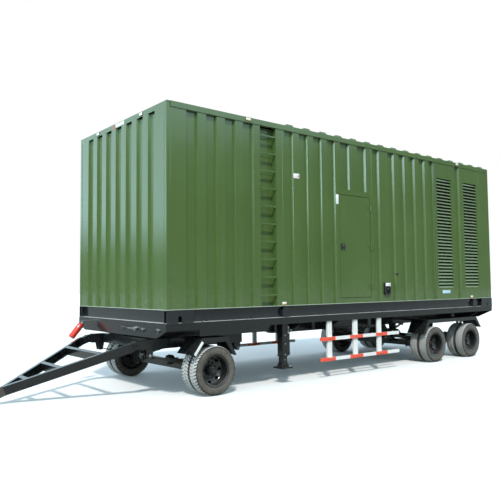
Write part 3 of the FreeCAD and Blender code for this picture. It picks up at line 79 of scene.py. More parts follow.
def lamp(name, aim, energy, angle, colour):
    data = bpy.data.lights.new(name, "SUN")
    data.energy, data.angle, data.color = energy, math.radians(angle), colour
    made = bpy.data.objects.new(name, data)
    made.rotation_mode = "QUATERNION"
    made.rotation_quaternion = Vector(aim).to_track_quat("-Z", "Y")
    bpy.context.scene.collection.objects.link(made)


def sky():
    """A studio surround: pale above, a dark green band low down that stands higher on the near side,
    a glow ahead of the vehicle, and white where it is seen directly."""
    bpy.context.scene.view_settings.view_transform = "Standard"
    world = bpy.data.worlds.new("surround")
    bpy.context.scene.world = world
    world.use_nodes = True
    tree = world.node_tree
    tree.nodes.clear()
    new = tree.nodes.new
    way = new("ShaderNodeTexCoord")
    split = new("ShaderNodeSeparateXYZ")
    tree.links.new(way.outputs["Generated"], split.inputs[0])
    ramp = new("ShaderNodeValToRGB")
    stops = ramp.color_ramp
    stops.elements[0].position, stops.elements[0].color = 0.47, (0.16, 0.18, 0.14, 1)
    stops.elements[1].position, stops.elements[1].color = 1.0, (0.50, 0.62, 0.78, 1)
    for position, colour in ((0.50, (0.10, 0.13, 0.07, 1)), (0.525, (0.13, 0.17, 0.09, 1)),
                             (0.555, (1.25, 1.75, 1.95, 1)), (0.70, (0.80, 1.02, 1.15, 1))):
        stops.elements.new(position).color = colour
    half, lifted = new("ShaderNodeMath"), new("ShaderNodeMath")
    half.operation = lifted.operation = "MULTIPLY_ADD"
    half.inputs[1].default_value = half.inputs[2].default_value = 0.5
    tree.links.new(split.outputs["Z"], half.inputs[0])
    side = new("ShaderNodeMapRange")
    for name, value in (("From Min", 0.0), ("From Max", -0.45), ("To Min", 0.0), ("To Max", 1.0)):
        side.inputs[name].default_value = value
    tree.links.new(split.outputs["Y"], side.inputs["Value"])
    tree.links.new(side.outputs["Result"], lifted.inputs[0])
    lifted.inputs[1].default_value = -0.085
    tree.links.new(half.outputs[0], lifted.inputs[2])
    tree.links.new(lifted.outputs[0], ramp.inputs[0])
    lit, seen = new("ShaderNodeBackground"), new("ShaderNodeBackground")
    tree.links.new(ramp.outputs[0], lit.inputs["Color"])
    glow = new("ShaderNodeMapRange")
    for name, value in (("From Min", -0.80), ("From Max", -0.97), ("To Min", 1.0), ("To Max", 4.2)):
        glow.inputs[name].default_value = value
    tree.links.new(split.outputs["X"], glow.inputs["Value"])
    tree.links.new(glow.outputs["Result"], lit.inputs["Strength"])
    seen.inputs["Color"].default_value = (1, 1, 1, 1)
    path, blend, out = new("ShaderNodeLightPath"), new("ShaderNodeMixShader"), new("ShaderNodeOutputWorld")
    tree.links.new(path.outputs["Is Camera Ray"], blend.inputs[0])
    tree.links.new(lit.outputs[0], blend.inputs[1])
    tree.links.new(seen.outputs[0], blend.inputs[2])
    tree.links.new(blend.outputs[0], out.inputs["Surface"])


def floor():
    size = 120.0
    data = bpy.data.meshes.new("floor")
    data.from_pydata([(-size, -size, 0), (size, -size, 0), (size, size, 0), (-size, size, 0)], [],
                     [(0, 1, 2, 3)])
    made = bpy.data.objects.new("floor", data)
    bpy.context.scene.collection.objects.link(made)
    shade = Shade("floor_paint", rough=0.75)
    patch = shade.noise(0.7, detail=5)
    pale = shade.mix(shade.spread(patch, 0.35, 0.65), (0.86, 0.86, 0.85), (0.90, 0.90, 0.89))
    direct = shade.new("ShaderNodeLightPath").outputs["Is Camera Ray"]
    shade.colour(shade.mix(direct, (0.26, 0.26, 0.24), pale))
    data.materials.append(shade.material)


# ------------------------------------------------------------------------------ materials
class Shade:
    """A material under construction: a surface shader and the textures that feed it."""

    def __init__(self, name, rough=0.5, metal=0.0, coat=0.0, coat_rough=0.05):
        self.material = bpy.data.materials.new(name)
        self.material.use_nodes = True
        self.tree = self.material.node_tree
        self.shader = self.tree.nodes["Principled BSDF"]
        self.shader.inputs["Roughness"].default_value = rough
        self.shader.inputs["Metallic"].default_value = metal
        self.shader.inputs["Coat Weight"].default_value = coat
        self.shader.inputs["Coat Roughness"].default_value = coat_rough
        coordinates = self.new("ShaderNodeTexCoord")
        self.where, self.facing = coordinates.outputs["Object"], coordinates.outputs["Normal"]

    def new(self, kind):
        return self.tree.nodes.new(kind)

    def feed(self, target, value):
        if isinstance(value, bpy.types.NodeSocket):
            self.tree.links.new(value, target)
        elif isinstance(value, tuple):
            target.default_value = (*value,
                                    1.0) if len(value) == 3 and len(target.default_value) == 4 else value
        else:
            target.default_value = value

    def stretched(self, stretch):
        mapping = self.new("ShaderNodeMapping")
        self.feed(mapping.inputs["Vector"], self.where)
        mapping.inputs["Scale"].default_value = stretch
        return mapping.outputs[0]

    def noise(self, scale, detail=3.0, rough=0.55, stretch=(1, 1, 1), warp=0.0):
        made = self.new("ShaderNodeTexNoise")
        self.feed(made.inputs["Vector"], self.stretched(stretch))
        for name, value in (("Scale", scale), ("Detail", detail), ("Roughness", rough), ("Distortion", warp)):
            made.inputs[name].default_value = value
        return made.outputs["Fac"]

    def spread(self, value, low, high, first=0.0, second=1.0):
        """value taken from low..high to first..second, and held at the ends."""
        made = self.new("ShaderNodeMapRange")
        for name, amount in (("Value", value), ("From Min", low), ("From Max", high), ("To Min", first),
                             ("To Max", second)):
            self.feed(made.inputs[name], amount)
        return made.outputs["Result"]

    def sum(self, operation, first, second=0.0):
        made = self.new("ShaderNodeMath")
        made.operation = operation
        self.feed(made.inputs[0], first)
        self.feed(made.inputs[1], second)
        return made.outputs[0]

    def mix(self, amount, first, second):
        made = self.new("ShaderNodeMix")
        made.data_type = "RGBA"
        self.feed(made.inputs["Factor"], amount)
        self.feed(made.inputs[6], first)
        self.feed(made.inputs[7], second)
        return made.outputs[2]

    def axis(self, letter, source=None):
        split = self.new("ShaderNodeSeparateXYZ")
        self.feed(split.inputs[0], source or self.where)
        return split.outputs[letter]

    def colour(self, value):
        self.feed(self.shader.inputs["Base Color"], value)

    def roughness(self, value):
        self.feed(self.shader.inputs["Roughness"], value)

    def bump(self, height, strength, distance):
        made = self.new("ShaderNodeBump")
        self.feed(made.inputs["Height"], height)
        made.inputs["Strength"].default_value = strength
        made.inputs["Distance"].default_value = distance
        previous = self.shader.inputs["Normal"].links
        if previous:
            self.feed(made.inputs["Normal"], previous[0].from_socket)
        self.feed(self.shader.inputs["Normal"], made.outputs[0])
        if self.shader.inputs["Coat Weight"].default_value > 0:
            self.feed(self.shader.inputs["Coat Normal"], made.outputs[0])
        return self


def dust_cover(shade, amount, level=0.0, depth=1.0):
    """Where dust lies: on faces that look up, in patches, and thicker below a height."""
    up = shade.spread(shade.axis("Z", shade.facing), 0.2, 0.95)
    patches = shade.spread(shade.noise(9.0, detail=6, rough=0.7), 0.42, 0.72)
    low = shade.spread(shade.axis("Z"), level, level + depth, 1.0, 0.0)
    lying = shade.sum("MULTIPLY", up, shade.sum("ADD", 0.35, patches))
    splashed = shade.sum("MULTIPLY", low, patches)
    return shade.spread(shade.sum("ADD", lying, splashed), 0.0, 1.6, 0.0, amount)


def enamel(name, paint, shadow, rough, coat, dust, dust_tint, waves=0.0, streaks=0.0, level=0.0, depth=1.0):
    """Sprayed gloss enamel: a tone that drifts, run-off streaks, dust, orange peel and a wavy sheet."""
    shade = Shade(name, rough=rough, coat=coat, coat_rough=0.06)
    tone = shade.mix(shade.spread(shade.noise(0.9, detail=4), 0.3, 0.7), paint, shadow)
    if streaks:
        run = shade.spread(shade.noise(11.0, detail=5, rough=0.65, stretch=(1, 1, 0.05)), 0.5, 0.75, 0,
                           streaks)
        tone = shade.mix(run, tone, dust_tint)
    cover = dust_cover(shade, dust, level, depth)
    shade.colour(shade.mix(cover, tone, dust_tint))
    grain = shade.noise(60.0, detail=4)
    shade.roughness(shade.sum("ADD", shade.spread(grain, 0.3, 0.7, rough - 0.05, rough + 0.06),
                              shade.sum("MULTIPLY", cover, 0.5)))
    if waves:
        shade.bump(shade.noise(1.7, detail=2, stretch=(1, 1, 0.4)), waves, 0.012)
    shade.bump(shade.noise(420.0, detail=2), 0.05, 0.0006)
    return shade.material


def green_paint():
    return enamel("green_enamel", (0.080, 0.140, 0.038), (0.068, 0.122, 0.032), 0.22, 0.70, 0.16,
                  (0.24, 0.23, 0.17), waves=0.30, streaks=0.06, level=HOUSING_Z, depth=0.8)


def louvre_paint():
    """The green enamel on the blades, with a painted sky reflection: a paler green on the faces that look up.
    """
    shade = Shade("louvre_enamel", rough=0.24, coat=0.6)
    tone = shade.mix(shade.spread(shade.noise(1.2, detail=4), 0.3, 0.7), (0.080, 0.140, 0.038),
                     (0.068, 0.122, 0.032))
    # Painted sky reflection: faces that look up are painted a paler green.
    up = shade.spread(shade.axis("Z", shade.facing), 0.25, 0.60, 0.0, 1.0)
    painted_sky_reflection = shade.mix(shade.spread(shade.noise(20.0, detail=5), 0.3, 0.7), (0.26, 0.34, 0.22),
                      (0.19, 0.26, 0.15))
    shade.colour(shade.mix(up, tone, painted_sky_reflection))
    shade.roughness(shade.spread(shade.noise(40.0), 0.3, 0.7, 0.2, 0.32))
    return shade.bump(shade.noise(300.0), 0.05, 0.0006).material


def ladder_paint():
    """The green enamel where boots and hands have polished it."""
    shade = Shade("green_worn_enamel", rough=0.3, coat=0.5)
    worn = shade.spread(shade.noise(38.0, detail=6, rough=0.7), 0.60, 0.68)
    tone = shade.mix(shade.spread(shade.noise(4.0), 0.3, 0.7), (0.060, 0.118, 0.034), (0.085, 0.150, 0.050))
    shade.colour(shade.mix(worn, tone, (0.30, 0.31, 0.26)))
    shade.roughness(shade.spread(worn, 0, 1, 0.25, 0.5))
    return shade.bump(shade.noise(300.0), 0.06, 0.0006).material


def frame_paint():
    return enamel("frame_enamel", (0.006, 0.007, 0.008), (0.010, 0.011, 0.012), 0.24, 0.4, 0.16,
                  (0.11, 0.10, 0.085), waves=0.18, streaks=0.03, level=0.0, depth=1.1)


def skid_paint():
    return enamel("skid_enamel", (0.008, 0.010, 0.013), (0.012, 0.014, 0.018), 0.22, 0.5, 0.16,
                  (0.30, 0.29, 0.27), waves=0.22, streaks=0.05, level=HOUSING_Z - 0.2, depth=0.05)


def rim_paint():
    shade = Shade("rim_enamel", rough=0.22, coat=0.8)
    cover = dust_cover(shade, 0.35, -0.3, 0.3)
    haze = shade.spread(shade.noise(14.0, detail=5), 0.45, 0.75, 0.0, 0.22)
    tone = shade.mix(haze, (0.008, 0.009, 0.010), (0.06, 0.055, 0.05))
    shade.colour(shade.mix(cover, tone, (0.16, 0.14, 0.12)))
    shade.roughness(shade.spread(shade.noise(30.0), 0.3, 0.7, 0.16, 0.34))
    return shade.bump(shade.noise(240.0), 0.08, 0.0008).material


def rubber_radius(shade):
    """Distance from the wheel's own Y axis, in metres."""
    x, z = shade.axis("X"), shade.axis("Z")
    return shade.sum("SQRT", shade.sum("ADD", shade.sum("MULTIPLY", x, x), shade.sum("MULTIPLY", z, z)))


def tyre_rubber():
    """Black rubber with pale lug faces, partly road dust and partly a painted highlight, and brown dust on
    the sidewall.
    """
    shade = Shade("tyre_rubber", rough=0.7)
    radius = rubber_radius(shade)
    mottled = shade.spread(shade.noise(16.0, detail=7, rough=0.7), 0.36, 0.70)
    fine = shade.spread(shade.noise(90.0, detail=4), 0.3, 0.75)
    wall = shade.mix(shade.sum("MULTIPLY", mottled, 0.8), (0.075, 0.068, 0.060), (0.17, 0.15, 0.125))
    bead = shade.spread(radius, 0.236, 0.262, 0.0, 1.0)
    wall = shade.mix(bead, (0.025, 0.024, 0.023), wall)
    # Pale lug faces: partly road dust and partly a painted highlight.
    lug_face = shade.spread(radius, 0.357, 0.366)
    lug = shade.mix(fine, (0.42, 0.415, 0.40), (0.62, 0.615, 0.60))
    groove = shade.spread(radius, 0.340, 0.352)
    tone = shade.mix(groove, wall, (0.012, 0.012, 0.012))
    shade.colour(shade.mix(lug_face, tone, lug))
    rings = shade.sum("SINE", shade.sum("MULTIPLY", radius, 900.0))
    shade.bump(rings, 0.12, 0.0008)
    return shade.bump(shade.noise(260.0, detail=4), 0.25, 0.0010).material


def guard_paint(bands, rails, name):
    """White gloss enamel with vermilion bands along the rails; bands and rails are spans in X and Z."""
    shade = Shade(name, rough=0.3, coat=0.5)
    x, z = shade.axis("X"), shade.axis("Z")

    def within(value, low, high):
        return shade.sum("MULTIPLY", shade.sum("GREATER_THAN", value, low),
                         shade.sum("LESS_THAN", value, high))

    red = None
    for low, high in bands:
        found = within(x, low, high)
        red = found if red is None else shade.sum("MAXIMUM", red, found)
    on_rail = None
    for low, high in rails:
        found = within(z, low, high)
        on_rail = found if on_rail is None else shade.sum("MAXIMUM", on_rail, found)
    red = shade.sum("MULTIPLY", red, on_rail)
    grime = shade.spread(shade.noise(9.0, detail=6, rough=0.7), 0.50, 0.80, 0.0, 0.35)
    tone = shade.mix(red, (0.84, 0.84, 0.83), (0.95, 0.085, 0.032))
    shade.colour(shade.mix(grime, tone, (0.55, 0.52, 0.47)))
    return shade.bump(shade.noise(200.0), 0.05, 0.0006).material


def plain(name, first, second, rough, metal=0.0, coat=0.0, scale=12.0, grain=200.0, bumped=0.08, spot=None):
    """A finish with two tones in soft patches, fine grain and optional specks."""
    shade = Shade(name, rough=rough, metal=metal, coat=coat)
    tone = shade.mix(shade.spread(shade.noise(scale, detail=5), 0.3, 0.7), first, second)
    if spot:
        specks = shade.spread(shade.noise(scale * 9, detail=6, rough=0.75), 0.62, 0.70)
        tone = shade.mix(specks, tone, spot)
    shade.colour(tone)
    shade.roughness(shade.spread(shade.noise(scale * 3), 0.3, 0.7, max(rough - 0.08, 0.02), rough + 0.10))
    return shade.bump(shade.noise(grain, detail=3), bumped, 0.0008).material


# ------------------------------------------------------------------------------ mesh building
AXES = {"x": Vector((1, 0, 0)), "y": Vector((0, 1, 0)), "z": Vector((0, 0, 1))}


class Form:
    """One piece's mesh, put together from several solids; tag says which of its paints each takes."""

    def __init__(self):
        self.mesh = bmesh.new()

    def take(self, verts, faces, tag):
        made = [self.mesh.verts.new(point) for point in verts]
        for face in faces:
            self.mesh.faces.new([made[index] for index in face]).material_index = tag
        return made

    def box(self, low, high, bevel=0.0, tag=0, turn=None, about=None):
        """An upright block between two corners, its edges rounded, turned about a point if asked."""
        low, high = Vector(low), Vector(high)
        own = bmesh.new()
        bmesh.ops.create_cube(own, size=1.0)
        for vert in own.verts:
            vert.co = Vector(((vert.co[i] + 0.5) * (high[i] - low[i]) + low[i]) for i in range(3))
        if bevel:
            bmesh.ops.bevel(own, geom=own.edges, offset=bevel, segments=2, affect="EDGES", profile=0.5,
                            clamp_overlap=True)
        if turn:
            centre = Vector(about) if about is not None else (low + high) / 2
            bmesh.ops.rotate(own, verts=own.verts, cent=centre, matrix=turn)
        return self.absorb(own, tag)

    def absorb(self, own, tag=0):
        """Takes in a bmesh, and frees it."""
        own.verts.ensure_lookup_table()
        own.verts.index_update()
        self.take([vert.co.copy() for vert in own.verts],
                  [[vert.index for vert in face.verts] for face in own.faces], tag)
        own.free()
        return self

    def turned(self, profile, centre=(0, 0, 0), axis="y", sides=48, tag=0, closed=True, sign=1):
        """A revolved solid: profile holds (radius, distance along the axis) pairs."""
        centre, along = Vector(centre), AXES[axis] if isinstance(axis, str) else Vector(axis).normalized()
        first = along.orthogonal().normalized()
        second = along.cross(first)
        rings, verts = [], []
        for radius, distance in profile:
            base = centre + along * distance * sign
            if radius < 1e-7:
                rings.append([len(verts)] * sides)
                verts.append(base)
                continue
            rings.append(list(range(len(verts), len(verts) + sides)))
            for index in range(sides):
                turn = 2 * math.pi * index / sides
                verts.append(base + (first * math.cos(turn) + second * math.sin(turn)) * radius)
        pairs = list(zip(rings, rings[1:])) + ([(rings[-1], rings[0])] if closed else [])
        faces = []
        for lower, upper in pairs:
            for index in range(sides):
                after = (index + 1) % sides
                corners = []
                for corner in (lower[index], lower[after], upper[after], upper[index]):
                    if corner not in corners:
                        corners.append(corner)
                if len(corners) > 2:
                    faces.append(corners if sign > 0 else corners[::-1])
        self.take(verts, faces, tag)
        return self

    def rod(self, start, end, radius, sides=16, bevel=0.0, tag=0, tip=None):
        start, end = Vector(start), Vector(end)
        length = (end - start).length
        tip = radius if tip is None else tip
        chamfer = min(bevel, radius * 0.45, length * 0.45)
        profile = [(0, 0), (radius - chamfer, 0), (radius, chamfer), (tip, length - chamfer),
                   (tip - chamfer, length), (0, length)]
        if not chamfer:
            profile = [(0, 0), (radius, 0), (tip, length), (0, length)]
        return self.turned(profile, start, end - start, sides, tag, closed=False)

    def bolt(self, seat, way, width=0.024, head=0.012, stud=0.0, tag=0):
        """A hexagon head on its washer, with the stud's end standing out of it if asked."""
        seat, way = Vector(seat), Vector(way).normalized()
        self.rod(seat, seat + way * head * 0.22, width * 0.62, 16, tag=tag)
        self.rod(seat + way * head * 0.2, seat + way * head, width / 2, 6, bevel=head * 0.12, tag=tag)
        if stud:
            self.rod(seat + way * head, seat + way * (head + stud), width * 0.27, 10, bevel=0.001, tag=tag)
        return self

    def plate(self, outline, axis, start, end, bevel=0.0, tag=0):
        """A flat polygon pushed along an axis; its corners are (Y, Z), (X, Z) or (X, Y) pairs."""
        order = {"x": (1, 2), "y": (0, 2), "z": (0, 1)}[axis]
        at = "xyz".index(axis)
        own = bmesh.new()
        layers = []
        for level in (start, end):
            layer = []
            for pair in outline:
                point = [0.0, 0.0, 0.0]
                point[order[0]], point[order[1]], point[at] = pair[0], pair[1], level
                layer.append(own.verts.new(point))
            layers.append(layer)
        own.faces.new(layers[0])
        own.faces.new(layers[1][::-1])
        for index in range(len(outline)):
            after = (index + 1) % len(outline)
            own.faces.new((layers[0][index], layers[1][index], layers[1][after], layers[0][after]))
        bmesh.ops.recalc_face_normals(own, faces=own.faces)
        if bevel:
            bmesh.ops.bevel(own, geom=own.edges, offset=bevel, segments=2, affect="EDGES", profile=0.5,
                            clamp_overlap=True)
        return self.absorb(own, tag)

    def tube(self, points, radius, sides=10, tag=0, smooth=6):
        """A round hose along a smooth curve through the given points."""
        path = smooth_path([Vector(point) for point in points], smooth)
        rings, verts = [], []
        normal = (path[1] - path[0]).orthogonal().normalized()
        for index, point in enumerate(path):
            ahead = path[min(index + 1, len(path) - 1)] - path[max(index - 1, 0)]
            ahead.normalize()
            normal = (normal - ahead * normal.dot(ahead)).normalized()
            other = ahead.cross(normal)
            rings.append(list(range(len(verts), len(verts) + sides)))
            for side in range(sides):
                turn = 2 * math.pi * side / sides
                verts.append(point + (normal * math.cos(turn) + other * math.sin(turn)) * radius)
        faces = [rings[0][::-1], rings[-1]]
        for lower, upper in zip(rings, rings[1:]):
            for side in range(sides):
                after = (side + 1) % sides
                faces.append((lower[side], lower[after], upper[after], upper[side]))
        self.take(verts, faces, tag)
        return self

    def data(self, name, paints, crease=32.0):
        """The finished mesh, smooth but for edges sharper than crease degrees."""
        bmesh.ops.recalc_face_normals(self.mesh, faces=self.mesh.faces)
        for face in self.mesh.faces:
            face.smooth = True
        for edge in self.mesh.edges:
            if len(edge.link_faces) != 2 or edge.calc_face_angle(0.0) > math.radians(crease):
                edge.smooth = False
        made = bpy.data.meshes.new(name)
        self.mesh.to_mesh(made)
        self.mesh.free()
        for paint in paints:
            made.materials.append(paint)
        return made

    def done(self, name, body, paints):
        """Makes the object and puts it on its body."""
        return place_copy(name, self.data(name, paints), body)


def smooth_path(points, steps):
    """Points along a Catmull-Rom curve through the given ones."""
    ends = [2 * points[0] - points[1], *points, 2 * points[-1] - points[-2]]
    path = []
    for a, b, c, d in zip(ends, ends[1:], ends[2:], ends[3:]):
        for step in range(steps):
            t = step / steps
            path.append(0.5 * (2 * b + (c - a) * t + (2 * a - 5 * b + 4 * c - d) * t * t
                               + (3 * b - a - 3 * c + d) * t ** 3))
    return path + [points[-1]]


def place_copy(name, data, body, origin=None, turn=0.0):
    """An object that shows a mesh, standing at origin and turned about the vertical by turn."""
    made = bpy.data.objects.new(name, data)
    bpy.context.scene.collection.objects.link(made)
    made.matrix_world = (Matrix.Translation(origin or (0, 0, 0)) @ Matrix.Rotation(turn, 4, "Z"))
    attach(made, body)
    return made


# ------------------------------------------------------------------------------ wheels
RIM_OFFSET = 0.111      # from the plane where the two discs meet to each rim's middle
LUGS = 46


def tyre_mesh(paint):
    """A lugged truck tyre about the Y axis, centred on its own middle plane."""
    form = Form()
    half = [(0.2226, 0.0747), (0.2358, 0.0747), (0.2405, 0.0790), (0.2440, 0.0838), (0.2520, 0.0872),
            (0.2560, 0.0868), (0.2640, 0.0905), (0.2780, 0.0950), (0.2930, 0.0970), (0.3060, 0.0972),
            (0.3085, 0.0958), (0.3115, 0.0968), (0.3230, 0.0955), (0.3350, 0.0925), (0.3440, 0.0870),
            (0.3505, 0.0780), (0.3535, 0.0620), (0.3550, 0.0300)]
    profile = half + [(0.3553, 0.0)] + [(radius, -y) for radius, y in reversed(half)]
    form.turned(profile, axis="y", sides=120)
    pitch = 2 * math.pi / LUGS
    shoulder = ([(0.3700, 0.031), (0.3700, 0.058), (0.3680, 0.071), (0.3635, 0.0815), (0.3560, 0.0895),
                 (0.3460, 0.0945), (0.3350, 0.0962)],
                [(0.3530, 0.031), (0.3520, 0.058), (0.3490, 0.070), (0.3450, 0.0790), (0.3410, 0.0850),
                 (0.3370, 0.0885), (0.3330, 0.0900)])
    centre = ([(0.3700, 0.0035), (0.3700, 0.014), (0.3700, 0.0265)],
              [(0.3530, 0.0035), (0.3530, 0.014), (0.3530, 0.0265)])
    for side in (-1, 1):
        for index in range(LUGS):
            at = pitch * (index + (0.5 if side > 0 else 0.0))
            lug(form, at, side, pitch, shoulder, 0.30, 0.36, 1.5)
            lug(form, at + pitch / 2, side, pitch, centre, 0.36, 0.42, -2.2)
    return form.data("tyre", [paint], crease=28.0)


def lug(form, at, side, pitch, outline, half_top, half_foot, skew):
    """One tread block that tapers outwards; skew turns it across the tread."""
    top, foot = outline
    rows = []
    for line, half in ((top, half_top), (foot, half_foot)):
        for edge in (-1, 1):
            row = []
            for radius, y in line:
                angle = at + edge * half * pitch + skew * (y - top[0][1])
                row.append((radius * math.cos(angle), side * y, radius * math.sin(angle)))
            rows.append(row)
    count = len(top)
    verts = [point for row in rows for point in row]
    faces = []
    for a, b in ((0, 1), (1, 3), (3, 2), (2, 0)):
        for index in range(count - 1):
            faces.append((a * count + index, a * count + index + 1, b * count + index + 1, b * count + index))
    for end in (0, count - 1):
        faces.append((end, count + end, 3 * count + end, 2 * count + end))
    form.take(verts, faces, 0)


def rim_mesh(paint, steel):
    """A deep-dish disc wheel that is bolted at y = 0 and opens towards +Y."""
    form = Form()
    low, high = RIM_OFFSET - 0.085, RIM_OFFSET + 0.085
    barrel = [(0.2140, low + 0.001), (0.2349, low), (0.2349, low + 0.0085), (0.2215, low + 0.0105),
              (0.2150, low + 0.060), (0.2150, high - 0.070), (0.2215, high - 0.0105),
              (0.2310, high - 0.0090), (0.2344, high - 0.0050), (0.2349, high - 0.0015),
              (0.2332, high), (0.2305, high - 0.0022), (0.2270, high - 0.0055), (0.2195, high - 0.0070),
              (0.2150, high - 0.0110), (0.2130, high - 0.0200), (0.2075, high - 0.0420),
              (0.2060, high - 0.0600), (0.2060, low + 0.0500), (0.2105, low + 0.0250)]
    form.turned(barrel, axis="y", sides=96)
    form.turned([(0.2075, low + 0.020), (0.2110, low + 0.026), (0.2080, low + 0.030), (0.2040, low + 0.026)],
                axis="y", sides=96)
    disc(form)
    inner = [(0.0803, 0.0), (0.150, 0.0), (0.156, 0.0035), (0.156, 0.0125), (0.150, 0.0105), (0.098, 0.0105),
             (0.094, 0.0140), (0.084, 0.0150), (0.0803, 0.0130)]
    form.turned(inner, axis="y", sides=72)
    return form.data("rim", [paint, steel], crease=35.0)


def disc(form):
    """The dished web of a wheel, pierced by eight oval hand holes."""
    inner, outer, at, holes, spokes, rows = 0.150, 0.2085, 0.181, 8, 40, 6
    sector = math.pi / holes

    def height(radius):
        share = min(max((radius - inner) / (outer - inner), 0.0), 1.0)
        return 0.0105 + 0.036 * share * share * (3 - 2 * share)

    for index in range(holes):
        middle = 2 * sector * index
        for thickness in (0.0, 0.009):
            layers = []
            for row in range(rows):
                share = row / (rows - 1)
                layer = []
                for spoke in range(spokes):
                    turn = 2 * math.pi * spoke / spokes
                    way = (math.cos(turn), math.sin(turn))
                    hole = (way[0] * 0.0185, way[1] * 0.0290)
                    reach_r = ((outer - at) if way[0] > 0 else (at - inner)) / max(abs(way[0]), 1e-6)
                    reach_t = sector * at / max(abs(way[1]), 1e-6)
                    reach = min(reach_r, reach_t)
                    rim = (way[0] * reach, way[1] * reach)
                    radius = at + hole[0] + (rim[0] - hole[0]) * share
                    angle = middle + (hole[1] + (rim[1] - hole[1]) * share) / at
                    lift = height(radius) - thickness - (0.0022 if row == 0 and not thickness else 0.0)
                    layer.append(Vector((radius * math.cos(angle), lift, radius * math.sin(angle))))
                layers.append(layer)
            verts = [point for layer in layers for point in layer]
            faces = []
            for row in range(rows - 1):
                for spoke in range(spokes):
                    after = (spoke + 1) % spokes
                    faces.append((row * spokes + spoke, row * spokes + after,
                                  (row + 1) * spokes + after, (row + 1) * spokes + spoke))
            made = form.take(verts, faces, 0)
            if not thickness:
                edge_of_hole = made[:spokes]
            else:
                for spoke in range(spokes):
                    after = (spoke + 1) % spokes
                    form.mesh.faces.new((edge_of_hole[spoke], edge_of_hole[after], made[after], made[spoke]))


def hub_mesh(paint, steel, cast):
    """The hub's nose with its flange bolts, the ten wheel nuts and the brake drum behind the discs."""
    form = Form()
    nose = [(0.0, -0.020), (0.0800, -0.020), (0.0800, 0.020), (0.0770, 0.0240), (0.0750, 0.050),
            (0.0700, 0.0560),
            (0.0690, 0.0640), (0.0660, 0.0670), (0.0655, 0.0880), (0.0620, 0.0930), (0.0520, 0.0950),
            (0.0510, 0.1180), (0.0470, 0.1245), (0.0300, 0.1290), (0.0, 0.1300)]
    form.turned(nose, axis="y", sides=56, closed=False)
    for index in range(8):
        turn = 2 * math.pi * index / 8
        form.bolt((0.0585 * math.cos(turn), 0.0935, 0.0585 * math.sin(turn)), (0, 1, 0), 0.0105, 0.0085,
                  tag=1)
    for index in range(10):
        turn = 2 * math.pi * (index + 0.5) / 10
        form.bolt((0.118 * math.cos(turn), 0.0105, 0.118 * math.sin(turn)), (0, 1, 0), 0.033, 0.024,
                  stud=0.014, tag=1)
    drum = [(0.060, -0.0105), (0.138, -0.0105), (0.140, -0.026), (0.178, -0.030), (0.190, -0.040),
            (0.192, -0.060), (0.188, -0.064), (0.188, -0.150), (0.193, -0.154), (0.193, -0.168),
            (0.176, -0.168), (0.176, -0.045), (0.060, -0.045)]
    form.turned(drum, axis="y", sides=72, tag=2)
    return form.data("hub", [paint, steel, cast])


def wheels(paints):
    tyre = tyre_mesh(paints["rubber"])
    rim = rim_mesh(paints["rim"], paints["steel"])
    hub = hub_mesh(paints["rim"], paints["nut"], paints["cast"])
    for row in ("front", "middle", "rear"):
        for name, side in SIDES.items():
            label, body = f"{row}_{name}", f"{row}_{name}_wheel"
            low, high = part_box(f"{label}_tyres")
            centre = (low + high) / 2
            for where, out in (("outer", side), ("inner", -side)):
                turn = 0.0 if out > 0 else math.pi
                made = place_copy(f"{label}_{where}_tyre", tyre, body,
                                  centre + Vector((0, out * RIM_OFFSET, 0)), turn)
                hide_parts(f"{label}_tyres")
                made = place_copy(f"{label}_{where}_rim", rim, body, centre, turn)
                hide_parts(f"{label}_rims")
            made = place_copy(f"{label}_hub", hub, body, centre, 0.0 if side > 0 else math.pi)
            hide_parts(f"{label}_rims")


# ------------------------------------------------------------------------------ details
# Places in the design's millimetres, which several pieces share.
LENGTH = 8840           # of the housing
WALL_Y = 1500           # a side wall's outer face
AXLE_X = {"dolly": 858, "middle": 6550, "rear": 7906}
AXLE_BODIES = [("trailer" if name != "dolly" else "dolly", x, name) for name, x in AXLE_X.items()]
LEG_X, LEG_Y = 2362, 1330
SWITCH_X = (4850, 5024)
SWITCH_FACE = -1546
TOP_BLADE = 2562
FASCIA_MIDDLE = 2962
RACE_BOLTS = 475        # radius of the turntable's ring of bolts
HINGE_HEIGHTS = (311.5, 1043.5, 1775.5)
# Small turned shapes, as (radius, distance) pairs in metres.
RIVET = [(0, 0), (0.008, 0), (0.0075, 0.0022), (0.004, 0.0035), (0, 0.004)]
SEAM = [(0, 0), (0.0042, 0), (0.0042, 2.93), (0, 2.93)]


def at(x, y, z):
    """A point in the design's millimetres."""
    return place(x / 1000, y / 1000, z / 1000)


def block(form, x, y, z, bevel=0.002, tag=0, **more):
    """A rounded block over three spans in the design's millimetres."""
    form.box(at(min(x), min(y), min(z)), at(max(x), max(y), max(z)), bevel, tag, **more)


def baffles(paints):
    """Ribbed black acoustic panels that stand behind the louvres and the rear grille."""
    for name, side in SIDES.items():
        form = Form()
        for left in (6690, 7735):
            block(form, (left, left + 610), (side * 1425, side * 1437), (215, 2648), 0.003)
            for index in range(6):
                x = left + 60 + 98 * index
                block(form, (x, x + 22), (side * 1437, side * 1444), (232, 2630), 0.003)
        form.done(f"{name}_louvre_baffle", "trailer", [paints["foam"]])
        form = Form()
        for left in (6718, 7763):
            blade = [(side * 1.4640, TOP_BLADE + 42), (side * 1.4672, TOP_BLADE + 45),
                     (side * 1.4965, TOP_BLADE + 4), (side * 1.4933, TOP_BLADE)]
            form.plate([(y, HOUSING_Z + height / 1000) for y, height in blade], "x",
                       HOUSING_X + left / 1000, HOUSING_X + (left + 554) / 1000, 0.0005)
        form.done(f"{name}_top_blades", "trailer", [paints["louvre"]])
    form = Form()
    block(form, (8752, 8764), (-985, 985), (385, 2830), 0.003)
    for index in range(12):
        y = -900 + 160 * index
        block(form, (8764, 8772), (y, y + 24), (400, 2810), 0.003)
    form.done("rear_grille_baffle", "trailer", [paints["foam"]])


